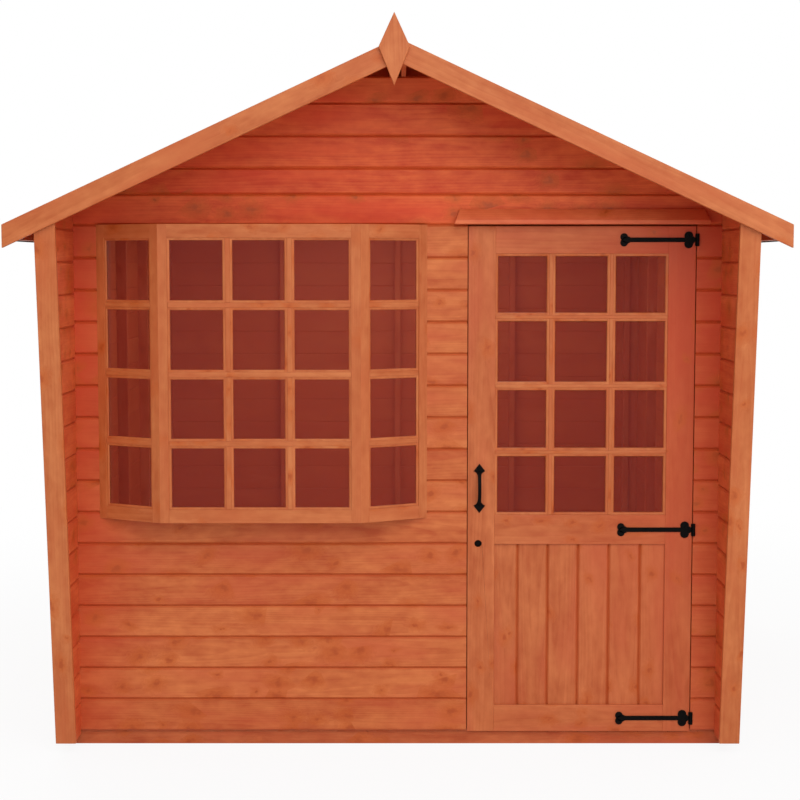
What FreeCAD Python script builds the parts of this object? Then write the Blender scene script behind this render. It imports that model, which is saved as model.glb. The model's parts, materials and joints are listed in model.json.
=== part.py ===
import FreeCAD, Part
import math
import os

from FreeCAD import Vector

# Timber summerhouse, 8 ft by 8 ft, with a bay window, a glazed door and side
# walls that run forward as tapered wings under the front of the roof.
# Millimetres. +Z is up, the front faces -Y, the ground is Z = 0 and the
# origin lies under the middle of the roof's length, on the centre line.

# The front wall, set out from left to right
left_pier_wide = 148.0
bay_wide = 1178.0
middle_pier_wide = 141.0
door_gap_lock = 5.0
door_wide = 809.0
door_gap_hinge = 9.0
right_pier_wide = 150.0

# Depth of the body and how far the roof passes it
body_depth = 2440.0
front_overhang = 330.0
rear_overhang = 50.0
side_overhang = 105.0

# Boards and frames
clad_thick = 12.0
frame_deep = 44.0
stud_wide = 28.0
trim_thick = 16.0
trim_wide = 72.0
joint_gap = 0.5

# Floor
bearer_high = 44.0
bearer_wide = 40.0
bearer_count = 10
deck_thick = 12.0
floor_setback_front = 18.0
floor_setback_side = 16.0
floor_setback_rear = 18.0

# Heights of the walls
front_clad_lap = 3.0
side_clad_lap = 20.0
sole_plate_high = 28.0
head_rail_high = 44.0
top_plate_high = 44.0
head_board_high = 107.0
wall_over_head = 16.3
side_stud_count = 5
rear_stud_count = 5

# The wing's foot, measured forward from the front wall
wing_foot_forward = 110.0

# Roof
roof_pitch_deg = 24.93
roof_board_thick = 12.0
felt_thick = 3.0
felt_drop = 42.0
barge_wide = 71.0
barge_above_felt = 8.5
eaves_batten_wide = 28.0
eaves_batten_high = 26.0
ridge_board_thick = 16.0
ridge_board_gap = 26.0
ridge_board_high = 63.3
purlin_wide = 28.0
purlin_high = 58.0
purlin_from_ridge = 662.0

# Finial, a kite fixed a little left of the ridge
finial_wide = 104.0
finial_above_ridge = 82.0
finial_below_ridge = 158.5
finial_shoulder_drop = 30.5
finial_offset = 11.0

# Bay window
bay_side_run = 235.0
bay_forward = 125.0
bay_high = 1050.0
bay_board_thick = 12.0
bay_frame_thick = 40.0
bay_stile = 33.0
bay_bottom_rail = 47.0
bay_top_rail = 48.0
bay_glass_in = 7.0
bay_wall_lap = 40.0
glass_thick = 4.0
groove_deep = 8.0
groove_clear = 0.3

# Door
door_high = 1828.0
door_thick = 28.0
door_member = 97.0
door_mid_rail_up = 687.0
door_mid_rail_high = 106.0
door_floor_lap = 4.5
door_lip_thick = 12.0
door_floor_clear = 6.0
door_stop_overlap = 13.0
door_stop_clear = 5.0
panel_thick = 12.0
lock_hole_radius = 13.0
lock_hole_in = 38.0
lock_hole_up = 2.0

# Strap hinges
strap_reach = 277.0
strap_wide = 13.0
strap_thick = 4.0
knuckle_high = 44.0
knuckle_radius = 6.0
knuckle_stand = 1.0
knuckle_gap = 0.5
knuckle_relief = 1.5
hinge_pin_radius = 3.0
hinge_pin_clear = 0.08
hinge_leaf_thick = 2.5
hinge_leaf_deep = 26.0
root_lobe_radius = 16.5
root_lobe_spread = 16.5
root_heart_radius = 22.0
root_lobe_in = 48.0
root_heart_in = 38.0
tip_lobe_radius = 11.5
tip_lobe_spread = 10.5
tip_lobe_in = 14.0

# Bow handle with a spade-shaped plate at each end
handle_in = 42.0
handle_up = 8.0
handle_high = 178.0
spade_wide = 42.0
spade_high = 46.0
spade_shoulder = 27.0
handle_plate_thick = 3.0
handle_bar_wide = 12.0
handle_bar_thick = 8.0
handle_stand = 32.0
handle_foot_in = 22.0

# Drip board over the door
drip_over_head = 1.5
drip_high = 53.5
drip_forward = 45.0
drip_nose_high = 14.0
drip_past_left = 52.0
drip_past_right = 47.0
drip_end_slant = 21.0

# Widths and depths worked out from the sizes above
opening_wide = door_gap_lock + door_wide + door_gap_hinge
body_width = left_pier_wide + bay_wide + middle_pier_wide + opening_wide + right_pier_wide
half_width = body_width / 2
frame_out_x = half_width - clad_thick
frame_in_x = frame_out_x - frame_deep
wing_in_x = frame_in_x - clad_thick
floor_half = half_width - floor_setback_side
roof_half_width = half_width + side_overhang
bay_left_x = -half_width + left_pier_wide
bay_right_x = bay_left_x + bay_wide
bay_hole_left_x = bay_left_x + bay_wall_lap
bay_hole_right_x = bay_right_x - bay_wall_lap
opening_left_x = bay_right_x + middle_pier_wide
door_left_x = opening_left_x + door_gap_lock
door_right_x = door_left_x + door_wide
opening_right_x = door_right_x + door_gap_hinge
roof_length = front_overhang + body_depth + rear_overhang
roof_front_y = -roof_length / 2
roof_rear_y = roof_length / 2
wall_front_y = roof_front_y + front_overhang
wall_rear_y = wall_front_y + body_depth
frame_front_y = wall_front_y + clad_thick
frame_front_in_y = frame_front_y + frame_deep
frame_rear_y = wall_rear_y - clad_thick
frame_rear_in_y = frame_rear_y - frame_deep
floor_front_y = wall_front_y + floor_setback_front
floor_rear_y = wall_rear_y - floor_setback_rear

# Heights worked out from the sizes above
deck_top_z = bearer_high + deck_thick
sole_top_z = deck_top_z + sole_plate_high
front_clad_bottom_z = deck_top_z - front_clad_lap
side_clad_bottom_z = deck_top_z - side_clad_lap
door_bottom_z = deck_top_z - door_floor_lap
door_top_z = door_bottom_z + door_high
mid_rail_z = door_bottom_z + door_mid_rail_up
mid_rail_top_z = mid_rail_z + door_mid_rail_high
opening_head_z = door_top_z + door_gap_lock
head_rail_top_z = opening_head_z + head_rail_high
gable_joint_z = opening_head_z + head_board_high
bay_bottom_z = opening_head_z - bay_high
slope = math.tan(math.radians(roof_pitch_deg))
cos_pitch = math.cos(math.radians(roof_pitch_deg))
roof_under_z = opening_head_z + wall_over_head + slope * half_width
board_top_z = roof_under_z + roof_board_thick / cos_pitch
felt_top_z = board_top_z + felt_thick / cos_pitch
ridge_top_z = felt_top_z + barge_above_felt
gable_cut_z = roof_under_z - ridge_board_high
gable_cut_half = ridge_board_high / slope
hinge_axis_x = door_right_x + door_gap_hinge / 2
hinge_axis_y = wall_front_y - knuckle_stand - knuckle_radius


def under(x):
    """Height of the roof boards' underside at distance x from the centre."""
    return roof_under_z - slope * abs(x)


def box(x0, x1, y0, y1, z0, z1):
    """Rectangular block between two corners."""
    return Part.makeBox(x1 - x0, y1 - y0, z1 - z0, Vector(x0, y0, z0))


def prism(corners, pull):
    """Flat outline through the corners, pulled along a vector."""
    return Part.Face(Part.makePolygon(corners + [corners[0]])).extrude(pull)


def prism_xz(points, y0, y1):
    """Outline in X and Z, pulled from y0 to y1."""
    return prism([Vector(x, y0, z) for x, z in points], Vector(0, y1 - y0, 0))


def prism_yz(points, x0, x1):
    """Outline in Y and Z, pulled from x0 to x1."""
    return prism([Vector(x0, y, z) for y, z in points], Vector(x1 - x0, 0, 0))


def prism_xy(points, z0, z1):
    """Outline in X and Y, pulled from z0 to z1."""
    return prism([Vector(x, y, z0) for x, y in points], Vector(0, 0, z1 - z0))


def disc(x, z, radius, y0, y1):
    """Round plate that faces the front."""
    return Part.makeCylinder(radius, y1 - y0, Vector(x, y0, z), Vector(0, 1, 0))


def upright_pin(x, y, radius, z0, z1):
    """Round bar standing on z0."""
    return Part.makeCylinder(radius, z1 - z0, Vector(x, y, z0))


def mirror_x(shape):
    """The same piece on the other side of the centre line."""
    return shape.mirror(Vector(0, 0, 0), Vector(1, 0, 0))


def both_sides(shape):
    """A piece and its mirror image."""
    return [shape, mirror_x(shape)]


def evenly(first, last, count):
    """Places from first to last with equal steps."""
    step = (last - first) / (count - 1)
    return [first + i * step for i in range(count)]


def save(name, solids):
    """Write one named piece, as one solid or as several that do not touch."""
    solids = solids if isinstance(solids, list) else [solids]
    shape = solids[0] if len(solids) == 1 else Part.makeCompound(solids)
    shape.exportStep("parts/" + name + ".step")


def space_below_roof():
    """Everything under the roof boards, which trims each piece that rises to them."""
    eave_z = under(roof_half_width)
    outline = [(-roof_half_width, 0), (roof_half_width, 0), (roof_half_width, eave_z),
               (0, roof_under_z), (-roof_half_width, eave_z)]
    return prism_xz(outline, roof_front_y, roof_rear_y)


below_roof = space_below_roof()


# Floor
def make_floor():
    places = evenly(floor_front_y, floor_rear_y - bearer_wide, bearer_count)
    save("floor_bearers", [box(-floor_half, floor_half, y, y + bearer_wide, 0, bearer_high) for y in places])
    save("floor_deck", box(-floor_half, floor_half, floor_front_y, floor_rear_y, bearer_high, deck_top_z))


# Side walls, whose front edges lean forward from the foot to the bargeboard
def wing_edge_y(z, back):
    """Place in Y of the wing's leaning edge at height z, set back by some depth."""
    foot_y = wall_front_y - wing_foot_forward
    share = (z - side_clad_bottom_z) / (under(half_width) - side_clad_bottom_z)
    return foot_y + (roof_front_y - foot_y) * share + back


def leaning_strip(bottom_z, top_z, front, back):
    """Outline in Y and Z of a strip along the wing's edge between two setbacks."""
    return [(wing_edge_y(bottom_z, front), bottom_z), (wing_edge_y(bottom_z, back), bottom_z),
            (wing_edge_y(top_z, back), top_z), (wing_edge_y(top_z, front), top_z)]


def wing_outline(rear_y):
    """Side outline of a wall sheet from behind the wing's trim to rear_y."""
    top_z = under(wing_in_x)
    return [(wing_edge_y(side_clad_bottom_z, trim_thick), side_clad_bottom_z),
            (rear_y, side_clad_bottom_z), (rear_y, top_z), (wing_edge_y(top_z, trim_thick), top_z)]


def make_side_walls():
    wall = prism_yz(wing_outline(wall_rear_y), frame_out_x, half_width).common(below_roof)
    save("right_wall", wall)
    save("left_wall", mirror_x(wall))
    lining = prism_yz(wing_outline(wall_front_y), wing_in_x, frame_in_x).common(below_roof)
    save("wing_linings", both_sides(lining))
    trim_proud = (trim_wide - half_width + wing_in_x) / 2
    trim_out_x = half_width + trim_proud
    strip = leaning_strip(side_clad_bottom_z, under(wing_in_x - trim_proud), 0, trim_thick)
    trim = prism_yz(strip, trim_out_x - trim_wide, trim_out_x).common(below_roof)
    save("wing_trims", both_sides(trim))


def make_side_frames():
    top_plate_z = under(frame_out_x) - top_plate_high
    stud_y = evenly(frame_front_in_y - stud_wide, frame_rear_y - stud_wide, side_stud_count)
    studs = [box(frame_in_x, frame_out_x, y, y + stud_wide, sole_top_z, top_plate_z) for y in stud_y]
    strip = leaning_strip(side_clad_bottom_z, top_plate_z, trim_thick, trim_thick + stud_wide)
    leaning_stud = prism_yz(strip, frame_in_x, frame_out_x)
    studs.append(leaning_stud)
    save("right_wall_studs", studs)
    save("left_wall_studs", [mirror_x(stud) for stud in studs])
    sole = box(frame_in_x, floor_half, frame_front_y, frame_rear_y, deck_top_z, sole_top_z)
    top = box(frame_in_x, frame_out_x, wing_edge_y(top_plate_z, trim_thick), frame_rear_y,
              top_plate_z, under(frame_in_x))
    foot = box(frame_in_x, frame_out_x, wing_edge_y(side_clad_bottom_z, trim_thick), frame_front_y - joint_gap,
               side_clad_bottom_z, side_clad_bottom_z + stud_wide)
    plates = [sole, top.common(below_roof), foot.cut(leaning_stud)]
    save("right_wall_plates", plates)
    save("left_wall_plates", [mirror_x(plate) for plate in plates])


# Rear wall
def make_rear_wall():
    side_z = under(frame_out_x)
    outline = [(-frame_out_x, side_clad_bottom_z), (frame_out_x, side_clad_bottom_z), (frame_out_x, side_z),
               (gable_cut_half, gable_cut_z), (-gable_cut_half, gable_cut_z), (-frame_out_x, side_z)]
    save("rear_wall", prism_xz(outline, frame_rear_y, wall_rear_y))
    trim_in_x = half_width - trim_wide
    trim = box(trim_in_x, half_width, wall_rear_y, wall_rear_y + trim_thick, side_clad_bottom_z, under(trim_in_x))
    save("rear_corner_trims", both_sides(trim.common(below_roof)))


def gable_rails(y0, y1):
    """The head rail and the short rail under the ridge boards, in the frame's depth."""
    inner = frame_in_x - joint_gap
    head = box(-inner, inner, y0, y1, opening_head_z, head_rail_top_z).common(below_roof)
    return [head, box(-gable_cut_half, gable_cut_half, y0, y1, gable_cut_z - stud_wide, gable_cut_z)]


def king_post(y0, y1):
    """Upright between the head rail and the short rail."""
    return box(-stud_wide / 2, stud_wide / 2, y0, y1, head_rail_top_z, gable_cut_z - stud_wide)


def gable_rafters(y0, y1):
    """The two sloping rails of a gable, from the head rail to the short rail."""
    drop = stud_wide / cos_pitch
    top_x, low_x = gable_cut_half + joint_gap, frame_in_x - joint_gap
    rafter = prism_xz([(top_x, under(top_x)), (top_x, under(top_x) - drop),
                       (low_x, under(low_x) - drop), (low_x, under(low_x))], y0, y1)
    return both_sides(rafter.cut(box(0, half_width, y0, y1, 0, head_rail_top_z + joint_gap)))


def make_rear_frame():
    y0, y1 = frame_rear_in_y, frame_rear_y
    inner = frame_in_x - joint_gap
    places = evenly(-inner, inner - stud_wide, rear_stud_count)
    studs = [box(x, x + stud_wide, y0, y1, sole_top_z, opening_head_z) for x in places]
    save("rear_wall_studs", studs + [king_post(y0, y1)])
    sole = box(-inner, inner, y0, floor_rear_y, deck_top_z, sole_top_z)
    save("rear_wall_plates", [sole] + gable_rails(y0, y1))


# Front wall, sheeted under, beside and over the bay window and the door
def make_front_cladding():
    y0, y1 = wall_front_y, frame_front_y
    edge = frame_in_x
    save("front_wall_under_bay", box(-edge, opening_left_x, y0, y1, front_clad_bottom_z, bay_bottom_z))
    strips = [box(-edge, bay_hole_left_x, y0, y1, bay_bottom_z, opening_head_z),
              box(bay_hole_right_x, opening_left_x, y0, y1, bay_bottom_z, opening_head_z),
              box(opening_right_x, edge, y0, y1, front_clad_bottom_z, opening_head_z)]
    save("front_wall_strips", strips)
    over = box(-edge, edge, y0, y1, opening_head_z, gable_joint_z)
    save("front_wall_over_openings", over.common(below_roof))
    gable = box(-edge, edge, y0, y1, gable_joint_z, gable_cut_z)
    save("front_gable", gable.common(below_roof))


def make_front_frame():
    y0, y1 = frame_front_y, frame_front_in_y
    inner = frame_in_x - joint_gap
    sill_z = bay_bottom_z - stud_wide
    places = [-inner, bay_hole_left_x - stud_wide, bay_hole_right_x, inner - stud_wide]
    studs = [box(x, x + stud_wide, y0, y1, sole_top_z, opening_head_z) for x in places]
    middle_x = (bay_hole_left_x + bay_hole_right_x - stud_wide) / 2
    short_stud = box(middle_x, middle_x + stud_wide, y0, y1, sole_top_z, sill_z)
    save("front_wall_studs", studs + [short_stud, king_post(y0, y1)])
    jamb_left_x = opening_left_x - stud_wide
    jamb_right_x = opening_right_x + stud_wide
    save("door_jambs", [box(jamb_left_x, opening_left_x, y0, y1, deck_top_z, opening_head_z),
                        box(opening_right_x, jamb_right_x, y0, y1, deck_top_z, opening_head_z)])
    plates = [box(-inner, jamb_left_x, floor_front_y, y1, deck_top_z, sole_top_z),
              box(jamb_right_x, inner, floor_front_y, y1, deck_top_z, sole_top_z),
              box(bay_hole_left_x, bay_hole_right_x, y0, y1, sill_z, bay_bottom_z)]
    save("front_wall_plates", plates + gable_rails(y0, y1))


# Roof
def make_roof():
    edge = roof_half_width
    inner = edge - felt_thick
    boards = prism_xz([(0, roof_under_z), (inner, under(inner)),
                       (inner, board_top_z - slope * inner), (0, board_top_z)], roof_front_y, roof_rear_y)
    save("roof_right", boards)
    save("roof_left", mirror_x(boards))
    eave_z = felt_top_z - slope * edge
    felt = prism_xz([(0, board_top_z), (inner, board_top_z - slope * inner), (inner, eave_z - felt_drop),
                     (edge, eave_z - felt_drop), (edge, eave_z), (0, felt_top_z)], roof_front_y, roof_rear_y)
    save("felt_right", felt)
    save("felt_left", mirror_x(felt))
    batten = box(inner - eaves_batten_wide, inner, roof_front_y, roof_rear_y,
                 under(inner) - eaves_batten_high, under(inner - eaves_batten_wide))
    save("eaves_battens", both_sides(batten.common(below_roof)))
    save("gable_rafters", gable_rafters(frame_front_y, frame_front_in_y)
         + gable_rafters(frame_rear_in_y, frame_rear_y))


def make_roof_beams():
    ridge_in_x = ridge_board_gap / 2
    board = box(ridge_in_x, ridge_in_x + ridge_board_thick, roof_front_y, roof_rear_y, gable_cut_z, roof_under_z)
    save("ridge_beam", both_sides(board.common(below_roof)))
    near_x = purlin_from_ridge - purlin_wide / 2
    purlin = box(near_x, near_x + purlin_wide, frame_front_in_y, frame_rear_in_y,
                 under(near_x) - purlin_high, under(near_x))
    save("purlins", both_sides(purlin.common(below_roof)))


def make_bargeboards():
    drop = barge_wide / cos_pitch
    near, far = joint_gap / 2, roof_half_width
    board = [(near, ridge_top_z), (far, ridge_top_z - slope * far),
             (far, ridge_top_z - slope * far - drop), (near, ridge_top_z - drop)]
    pair = [prism_xz(board, roof_front_y - trim_thick, roof_front_y),
            prism_xz(board, roof_rear_y, roof_rear_y + trim_thick)]
    save("bargeboards_right", pair)
    save("bargeboards_left", [mirror_x(piece) for piece in pair])
    shoulder_z = ridge_top_z - finial_shoulder_drop
    kite = [(-finial_offset, ridge_top_z + finial_above_ridge), (finial_wide / 2 - finial_offset, shoulder_z),
            (-finial_offset, ridge_top_z - finial_below_ridge), (-finial_wide / 2 - finial_offset, shoulder_z)]
    save("finials", [prism_xz(kite, roof_front_y - 2 * trim_thick, roof_front_y - trim_thick),
                     prism_xz(kite, roof_rear_y + trim_thick, roof_rear_y + 2 * trim_thick)])


# Bay window: three glazed frames on a trapezoid plan, mitred where they meet
# and cut off at the wall's face, round a base board and a head board
def slab(start, end, inward, depth0, depth1, z0, z1):
    """Upright slab along a plan line, between two depths from it."""
    corners = [start + inward * depth0, end + inward * depth0, end + inward * depth1, start + inward * depth1]
    return prism_xy([(v.x, v.y) for v in corners], z0, z1)


def bay_plan():
    """Outer corners, inner corners, directions and inward normals of the bay's three sides."""
    front_y = wall_front_y - bay_forward
    outer = [Vector(bay_left_x, wall_front_y, 0), Vector(bay_left_x + bay_side_run, front_y, 0),
             Vector(bay_right_x - bay_side_run, front_y, 0), Vector(bay_right_x, wall_front_y, 0)]
    along = [(outer[i + 1] - outer[i]).normalize() for i in range(3)]
    inward = [Vector(-a.y, a.x, 0) for a in along]
    inner = []
    for corner, side in ((0, 0), (3, 2)):
        shifted = outer[corner] + inward[side] * bay_frame_thick
        inner.append(shifted + along[side] * ((wall_front_y - shifted.y) / along[side].y))
    for corner in (1, 2):
        mitre = (inward[corner - 1] + inward[corner]).normalize()
        inner.insert(corner, outer[corner] + mitre * (bay_frame_thick / mitre.dot(inward[corner])))
    return outer, inner, along, inward


def light_frame(outer, inner, along, inward, z0, z1):
    """One glazed frame and its sheet of glass. A stile at the wall is cut to a wedge by the wall's face."""
    block = prism_xy([(p.x, p.y) for p in (outer[0], outer[1], inner[1], inner[0])], z0, z1)
    start = outer[0] + along * bay_stile
    end = outer[1] - along * bay_stile
    low, high = z0 + bay_bottom_rail, z1 - bay_top_rail
    opening = slab(start, end, inward, -bay_frame_thick, 2 * bay_frame_thick, low, high)
    front, back = bay_glass_in, bay_glass_in + glass_thick
    glass = slab(start - along * groove_deep, end + along * groove_deep, inward,
                 front, back, low - groove_deep, high + groove_deep)
    reach = groove_deep + groove_clear
    groove = slab(start - along * reach, end + along * reach, inward,
                  front - groove_clear, back + groove_clear, low - reach, high + reach)
    return block.cut(opening).cut(groove), glass


def make_bay():
    outer, inner, along, inward = bay_plan()
    plan = [(v.x, v.y) for v in inner]
    plan += [(bay_hole_right_x, wall_front_y), (bay_hole_right_x, frame_front_in_y),
             (bay_hole_left_x, frame_front_in_y), (bay_hole_left_x, wall_front_y)]
    save("bay_base", prism_xy(plan, bay_bottom_z, bay_bottom_z + bay_board_thick))
    save("bay_head", prism_xy(plan, opening_head_z - bay_board_thick, opening_head_z))
    lights = [light_frame(outer[i:i + 2], inner[i:i + 2], along[i], inward[i], bay_bottom_z, opening_head_z)
              for i in range(3)]
    save("bay_front_frame", lights[1][0])
    save("bay_side_frames", [lights[0][0], lights[2][0]])
    save("bay_glass", [glass for frame, glass in lights])


# Door
def make_door():
    y0, y1 = wall_front_y, wall_front_y + door_thick
    middle_y = (y0 + y1) / 2
    lock_in = door_left_x + door_member
    hinge_in = door_right_x - door_member
    bottom_rail_top = door_bottom_z + door_member
    top_rail_z = door_top_z - door_member
    floor_notch = box(door_left_x, door_right_x, y0 + door_lip_thick, y1, door_bottom_z,
                      deck_top_z + door_floor_clear)

    def sheet(thick, low, high, grow):
        """A sheet held in grooves, or the room for it when grown by a clearance."""
        reach = groove_deep + grow
        return box(lock_in - reach, hinge_in + reach, middle_y - thick / 2 - grow, middle_y + thick / 2 + grow,
                   low - reach, high + reach)

    glass_room = sheet(glass_thick, mid_rail_top_z, top_rail_z, groove_clear)
    panel_room = sheet(panel_thick, bottom_rail_top, mid_rail_z, groove_clear)

    def member(x0, x1, z0, z1):
        """A stile or rail with its grooves and the notch over the floor."""
        return box(x0, x1, y0, y1, z0, z1).cut(floor_notch).cut(glass_room).cut(panel_room)

    lock_hole = disc(door_left_x + lock_hole_in, mid_rail_z + lock_hole_up, lock_hole_radius, y0, y1)
    save("door_lock_stile", member(door_left_x, lock_in, door_bottom_z, door_top_z).cut(lock_hole))
    save("door_hinge_stile", member(hinge_in, door_right_x, door_bottom_z, door_top_z))
    save("door_rails", [member(lock_in, hinge_in, door_bottom_z, bottom_rail_top),
                        member(lock_in, hinge_in, mid_rail_z, mid_rail_top_z),
                        member(lock_in, hinge_in, top_rail_z, door_top_z)])
    save("door_glass", sheet(glass_thick, mid_rail_top_z, top_rail_z, 0))
    save("door_panel", sheet(panel_thick, bottom_rail_top, mid_rail_z, 0))


def make_door_stops():
    y0, y1 = wall_front_y + door_thick + door_stop_clear, frame_front_in_y
    left_x = door_left_x + door_stop_overlap
    right_x = door_right_x - door_stop_overlap
    save("door_stops", [box(opening_left_x, left_x, y0, y1, deck_top_z, opening_head_z),
                        box(right_x, opening_right_x, y0, y1, deck_top_z, opening_head_z),
                        box(left_x + joint_gap, right_x - joint_gap, y0, y1,
                            door_top_z - door_stop_overlap, opening_head_z)])


def make_drip_board():
    y0 = wall_front_y
    bottom_z = opening_head_z + drip_over_head
    top_z = bottom_z + drip_high
    left_x, right_x = door_left_x - drip_past_left, door_right_x + drip_past_right
    profile = [(y0, bottom_z), (y0 - drip_forward, bottom_z), (y0 - drip_forward, bottom_z + drip_nose_high),
               (y0 - trim_thick, top_z), (y0, top_z)]
    ends = prism_xz([(left_x, bottom_z), (right_x, bottom_z), (right_x - drip_end_slant, top_z),
                     (left_x + drip_end_slant, top_z)], y0 - drip_forward, y0)
    save("drip_board", prism_yz(profile, left_x, right_x).common(ends))


# Strap hinges. Each strap lies on the door's face between a heart at the root and two
# lobes at the tip, and carries the outer knuckles. The leaf on the jamb carries the
# middle knuckle and the pin.
def strap_plate(z):
    """The flat of one strap, with its lobes."""
    y0, y1 = wall_front_y - strap_thick, wall_front_y
    tip_x = hinge_axis_x - strap_reach
    half = strap_wide / 2
    plate = box(tip_x + tip_lobe_in, hinge_axis_x, y0, y1, z - half, z + half)
    root_x = hinge_axis_x - root_lobe_in
    for side in (-1, 1):
        plate = plate.fuse(disc(root_x, z + side * root_lobe_spread, root_lobe_radius, y0, y1))
        plate = plate.fuse(disc(tip_x + tip_lobe_in, z + side * tip_lobe_spread, tip_lobe_radius, y0, y1))
    return plate.fuse(disc(hinge_axis_x - root_heart_in, z, root_heart_radius, y0, y1))


def make_hinges():
    x, y = hinge_axis_x, hinge_axis_y
    leaf_x = opening_right_x - hinge_leaf_thick
    straps, leaves = [], []
    centres = (door_bottom_z + door_member / 2, (mid_rail_z + mid_rail_top_z) / 2, door_top_z - door_member / 2)
    for z in centres:
        low, high = z - knuckle_high / 2, z + knuckle_high / 2
        mid_low, mid_high = z - knuckle_high / 6, z + knuckle_high / 6
        barrel = upright_pin(x, y, knuckle_radius, low, high)
        neck = box(door_right_x - root_heart_radius / 2, x, y, wall_front_y, low, high)
        relief = upright_pin(x, y, knuckle_radius + knuckle_relief, mid_low - knuckle_gap, mid_high + knuckle_gap)
        bore = upright_pin(x, y, hinge_pin_radius + hinge_pin_clear, low, high)
        straps.append(strap_plate(z).fuse(neck).fuse(barrel).cut(relief).cut(bore).removeSplitter())
        leaf = box(leaf_x, opening_right_x, wall_front_y, wall_front_y + hinge_leaf_deep, low, high)
        arm = box(leaf_x, opening_right_x, y, wall_front_y, mid_low, mid_high)
        knuckle = upright_pin(x, y, knuckle_radius, mid_low, mid_high)
        pin = upright_pin(x, y, hinge_pin_radius, low, high)
        leaves.append(knuckle.fuse(pin).fuse(leaf).fuse(arm).removeSplitter())
    save("hinge_straps", straps)
    save("hinge_leaves", leaves)


# Bow handle
def spade(x, tip_z, turn):
    """Plate shaped like an arrow head with hollow shoulders, whose tip points along turn."""
    y0, y1 = wall_front_y - handle_plate_thick, wall_front_y
    half, neck = spade_wide / 2, handle_bar_wide / 2
    shoulder_z = tip_z - turn * spade_shoulder
    neck_z = tip_z - turn * spade_high
    tip, foot_right, foot_left = Vector(x, y0, tip_z), Vector(x + neck, y0, neck_z), Vector(x - neck, y0, neck_z)
    right, left = Vector(x + half, y0, shoulder_z), Vector(x - half, y0, shoulder_z)
    hollow_z = (shoulder_z + neck_z) / 2 + turn * neck / 2
    edges = [Part.LineSegment(tip, right),
             Part.Arc(right, Vector(x + half / 2, y0, hollow_z), foot_right),
             Part.LineSegment(foot_right, foot_left),
             Part.Arc(foot_left, Vector(x - half / 2, y0, hollow_z), left),
             Part.LineSegment(left, tip)]
    face = Part.Face(Part.Wire([edge.toShape() for edge in edges]))
    return face.extrude(Vector(0, y1 - y0, 0))


def make_handle():
    x = door_left_x + handle_in
    low = mid_rail_top_z + handle_up
    high = low + handle_high
    y = wall_front_y
    foot_low, foot_high = low + handle_foot_in, high - handle_foot_in
    middle = (low + high) / 2

    def bow(stand, inset):
        """Arc in Y and Z from foot to foot, through a point that stands off the door."""
        return Part.Arc(Vector(0, y, foot_low + inset), Vector(0, y - stand, middle), Vector(0, y, foot_high - inset))

    outer = bow(handle_stand, 0).toShape()
    inner = bow(handle_stand - handle_bar_thick, 2 * handle_bar_thick).toShape()
    ends = [Part.makeLine(Vector(0, y, foot_low), Vector(0, y, foot_low + 2 * handle_bar_thick)),
            Part.makeLine(Vector(0, y, foot_high - 2 * handle_bar_thick), Vector(0, y, foot_high))]
    face = Part.Face(Part.Wire([outer, ends[1], inner, ends[0]]))
    bar = face.extrude(Vector(handle_bar_wide, 0, 0))
    bar.translate(Vector(x - handle_bar_wide / 2, 0, 0))
    save("door_handle", bar.fuse(spade(x, low, -1)).fuse(spade(x, high, 1)).removeSplitter())


os.makedirs("parts", exist_ok=True)
make_floor()
make_side_walls()
make_side_frames()
make_rear_wall()
make_rear_frame()
make_front_cladding()
make_front_frame()
make_roof()
make_roof_beams()
make_bargeboards()
make_bay()
make_door()
make_door_stops()
make_drip_board()
make_hinges()
make_handle()
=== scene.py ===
"""A stained timber summerhouse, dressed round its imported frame.

Metres, +Z up, the front faces -Y. Each sub-assembly is a class that models its
pieces, gives them their finish and hangs them on the house or on the door.
"""

import json
import logging
import math
import random
from dataclasses import dataclass, field
from enum import Enum
from typing import Any, Callable, Mapping, NamedTuple, Sequence

import bmesh
import bpy
from mathutils import Matrix, Vector

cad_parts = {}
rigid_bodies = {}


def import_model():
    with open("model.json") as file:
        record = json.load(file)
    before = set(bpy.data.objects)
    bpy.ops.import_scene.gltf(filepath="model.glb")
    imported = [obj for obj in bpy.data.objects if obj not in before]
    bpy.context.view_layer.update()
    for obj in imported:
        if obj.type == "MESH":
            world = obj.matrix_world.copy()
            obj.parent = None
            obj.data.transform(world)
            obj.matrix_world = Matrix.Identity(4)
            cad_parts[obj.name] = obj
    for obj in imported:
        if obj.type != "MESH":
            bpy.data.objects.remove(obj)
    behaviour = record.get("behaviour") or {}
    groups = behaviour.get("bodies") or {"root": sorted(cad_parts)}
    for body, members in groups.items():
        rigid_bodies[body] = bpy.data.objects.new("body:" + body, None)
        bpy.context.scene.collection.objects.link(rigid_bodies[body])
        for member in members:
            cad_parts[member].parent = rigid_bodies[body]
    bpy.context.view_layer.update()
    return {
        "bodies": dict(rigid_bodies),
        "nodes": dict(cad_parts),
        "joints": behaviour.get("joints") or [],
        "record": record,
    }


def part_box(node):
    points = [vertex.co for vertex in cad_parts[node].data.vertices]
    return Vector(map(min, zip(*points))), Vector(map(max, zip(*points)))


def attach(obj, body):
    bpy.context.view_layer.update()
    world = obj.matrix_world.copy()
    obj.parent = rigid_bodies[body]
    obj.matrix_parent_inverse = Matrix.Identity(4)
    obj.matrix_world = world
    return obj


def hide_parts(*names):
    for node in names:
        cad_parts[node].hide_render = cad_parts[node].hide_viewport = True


Piece = bpy.types.Object
Plane = tuple[Vector, Vector]
Colour = tuple[int, int, int]

LOG = logging.getLogger("summerhouse")
TINY = 1e-5  # nearer than this is touching
SQUARE_ON = 0.99  # a normal that agrees this well with an axis looks along it
MIDDLE = 0.5  # noise swings round this
WHITE = (1.0, 1.0, 1.0, 1.0)
X, Y, Z = Vector((1, 0, 0)), Vector((0, 1, 0)), Vector((0, 0, 1))
ORIGIN = Vector((0, 0, 0))


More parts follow.
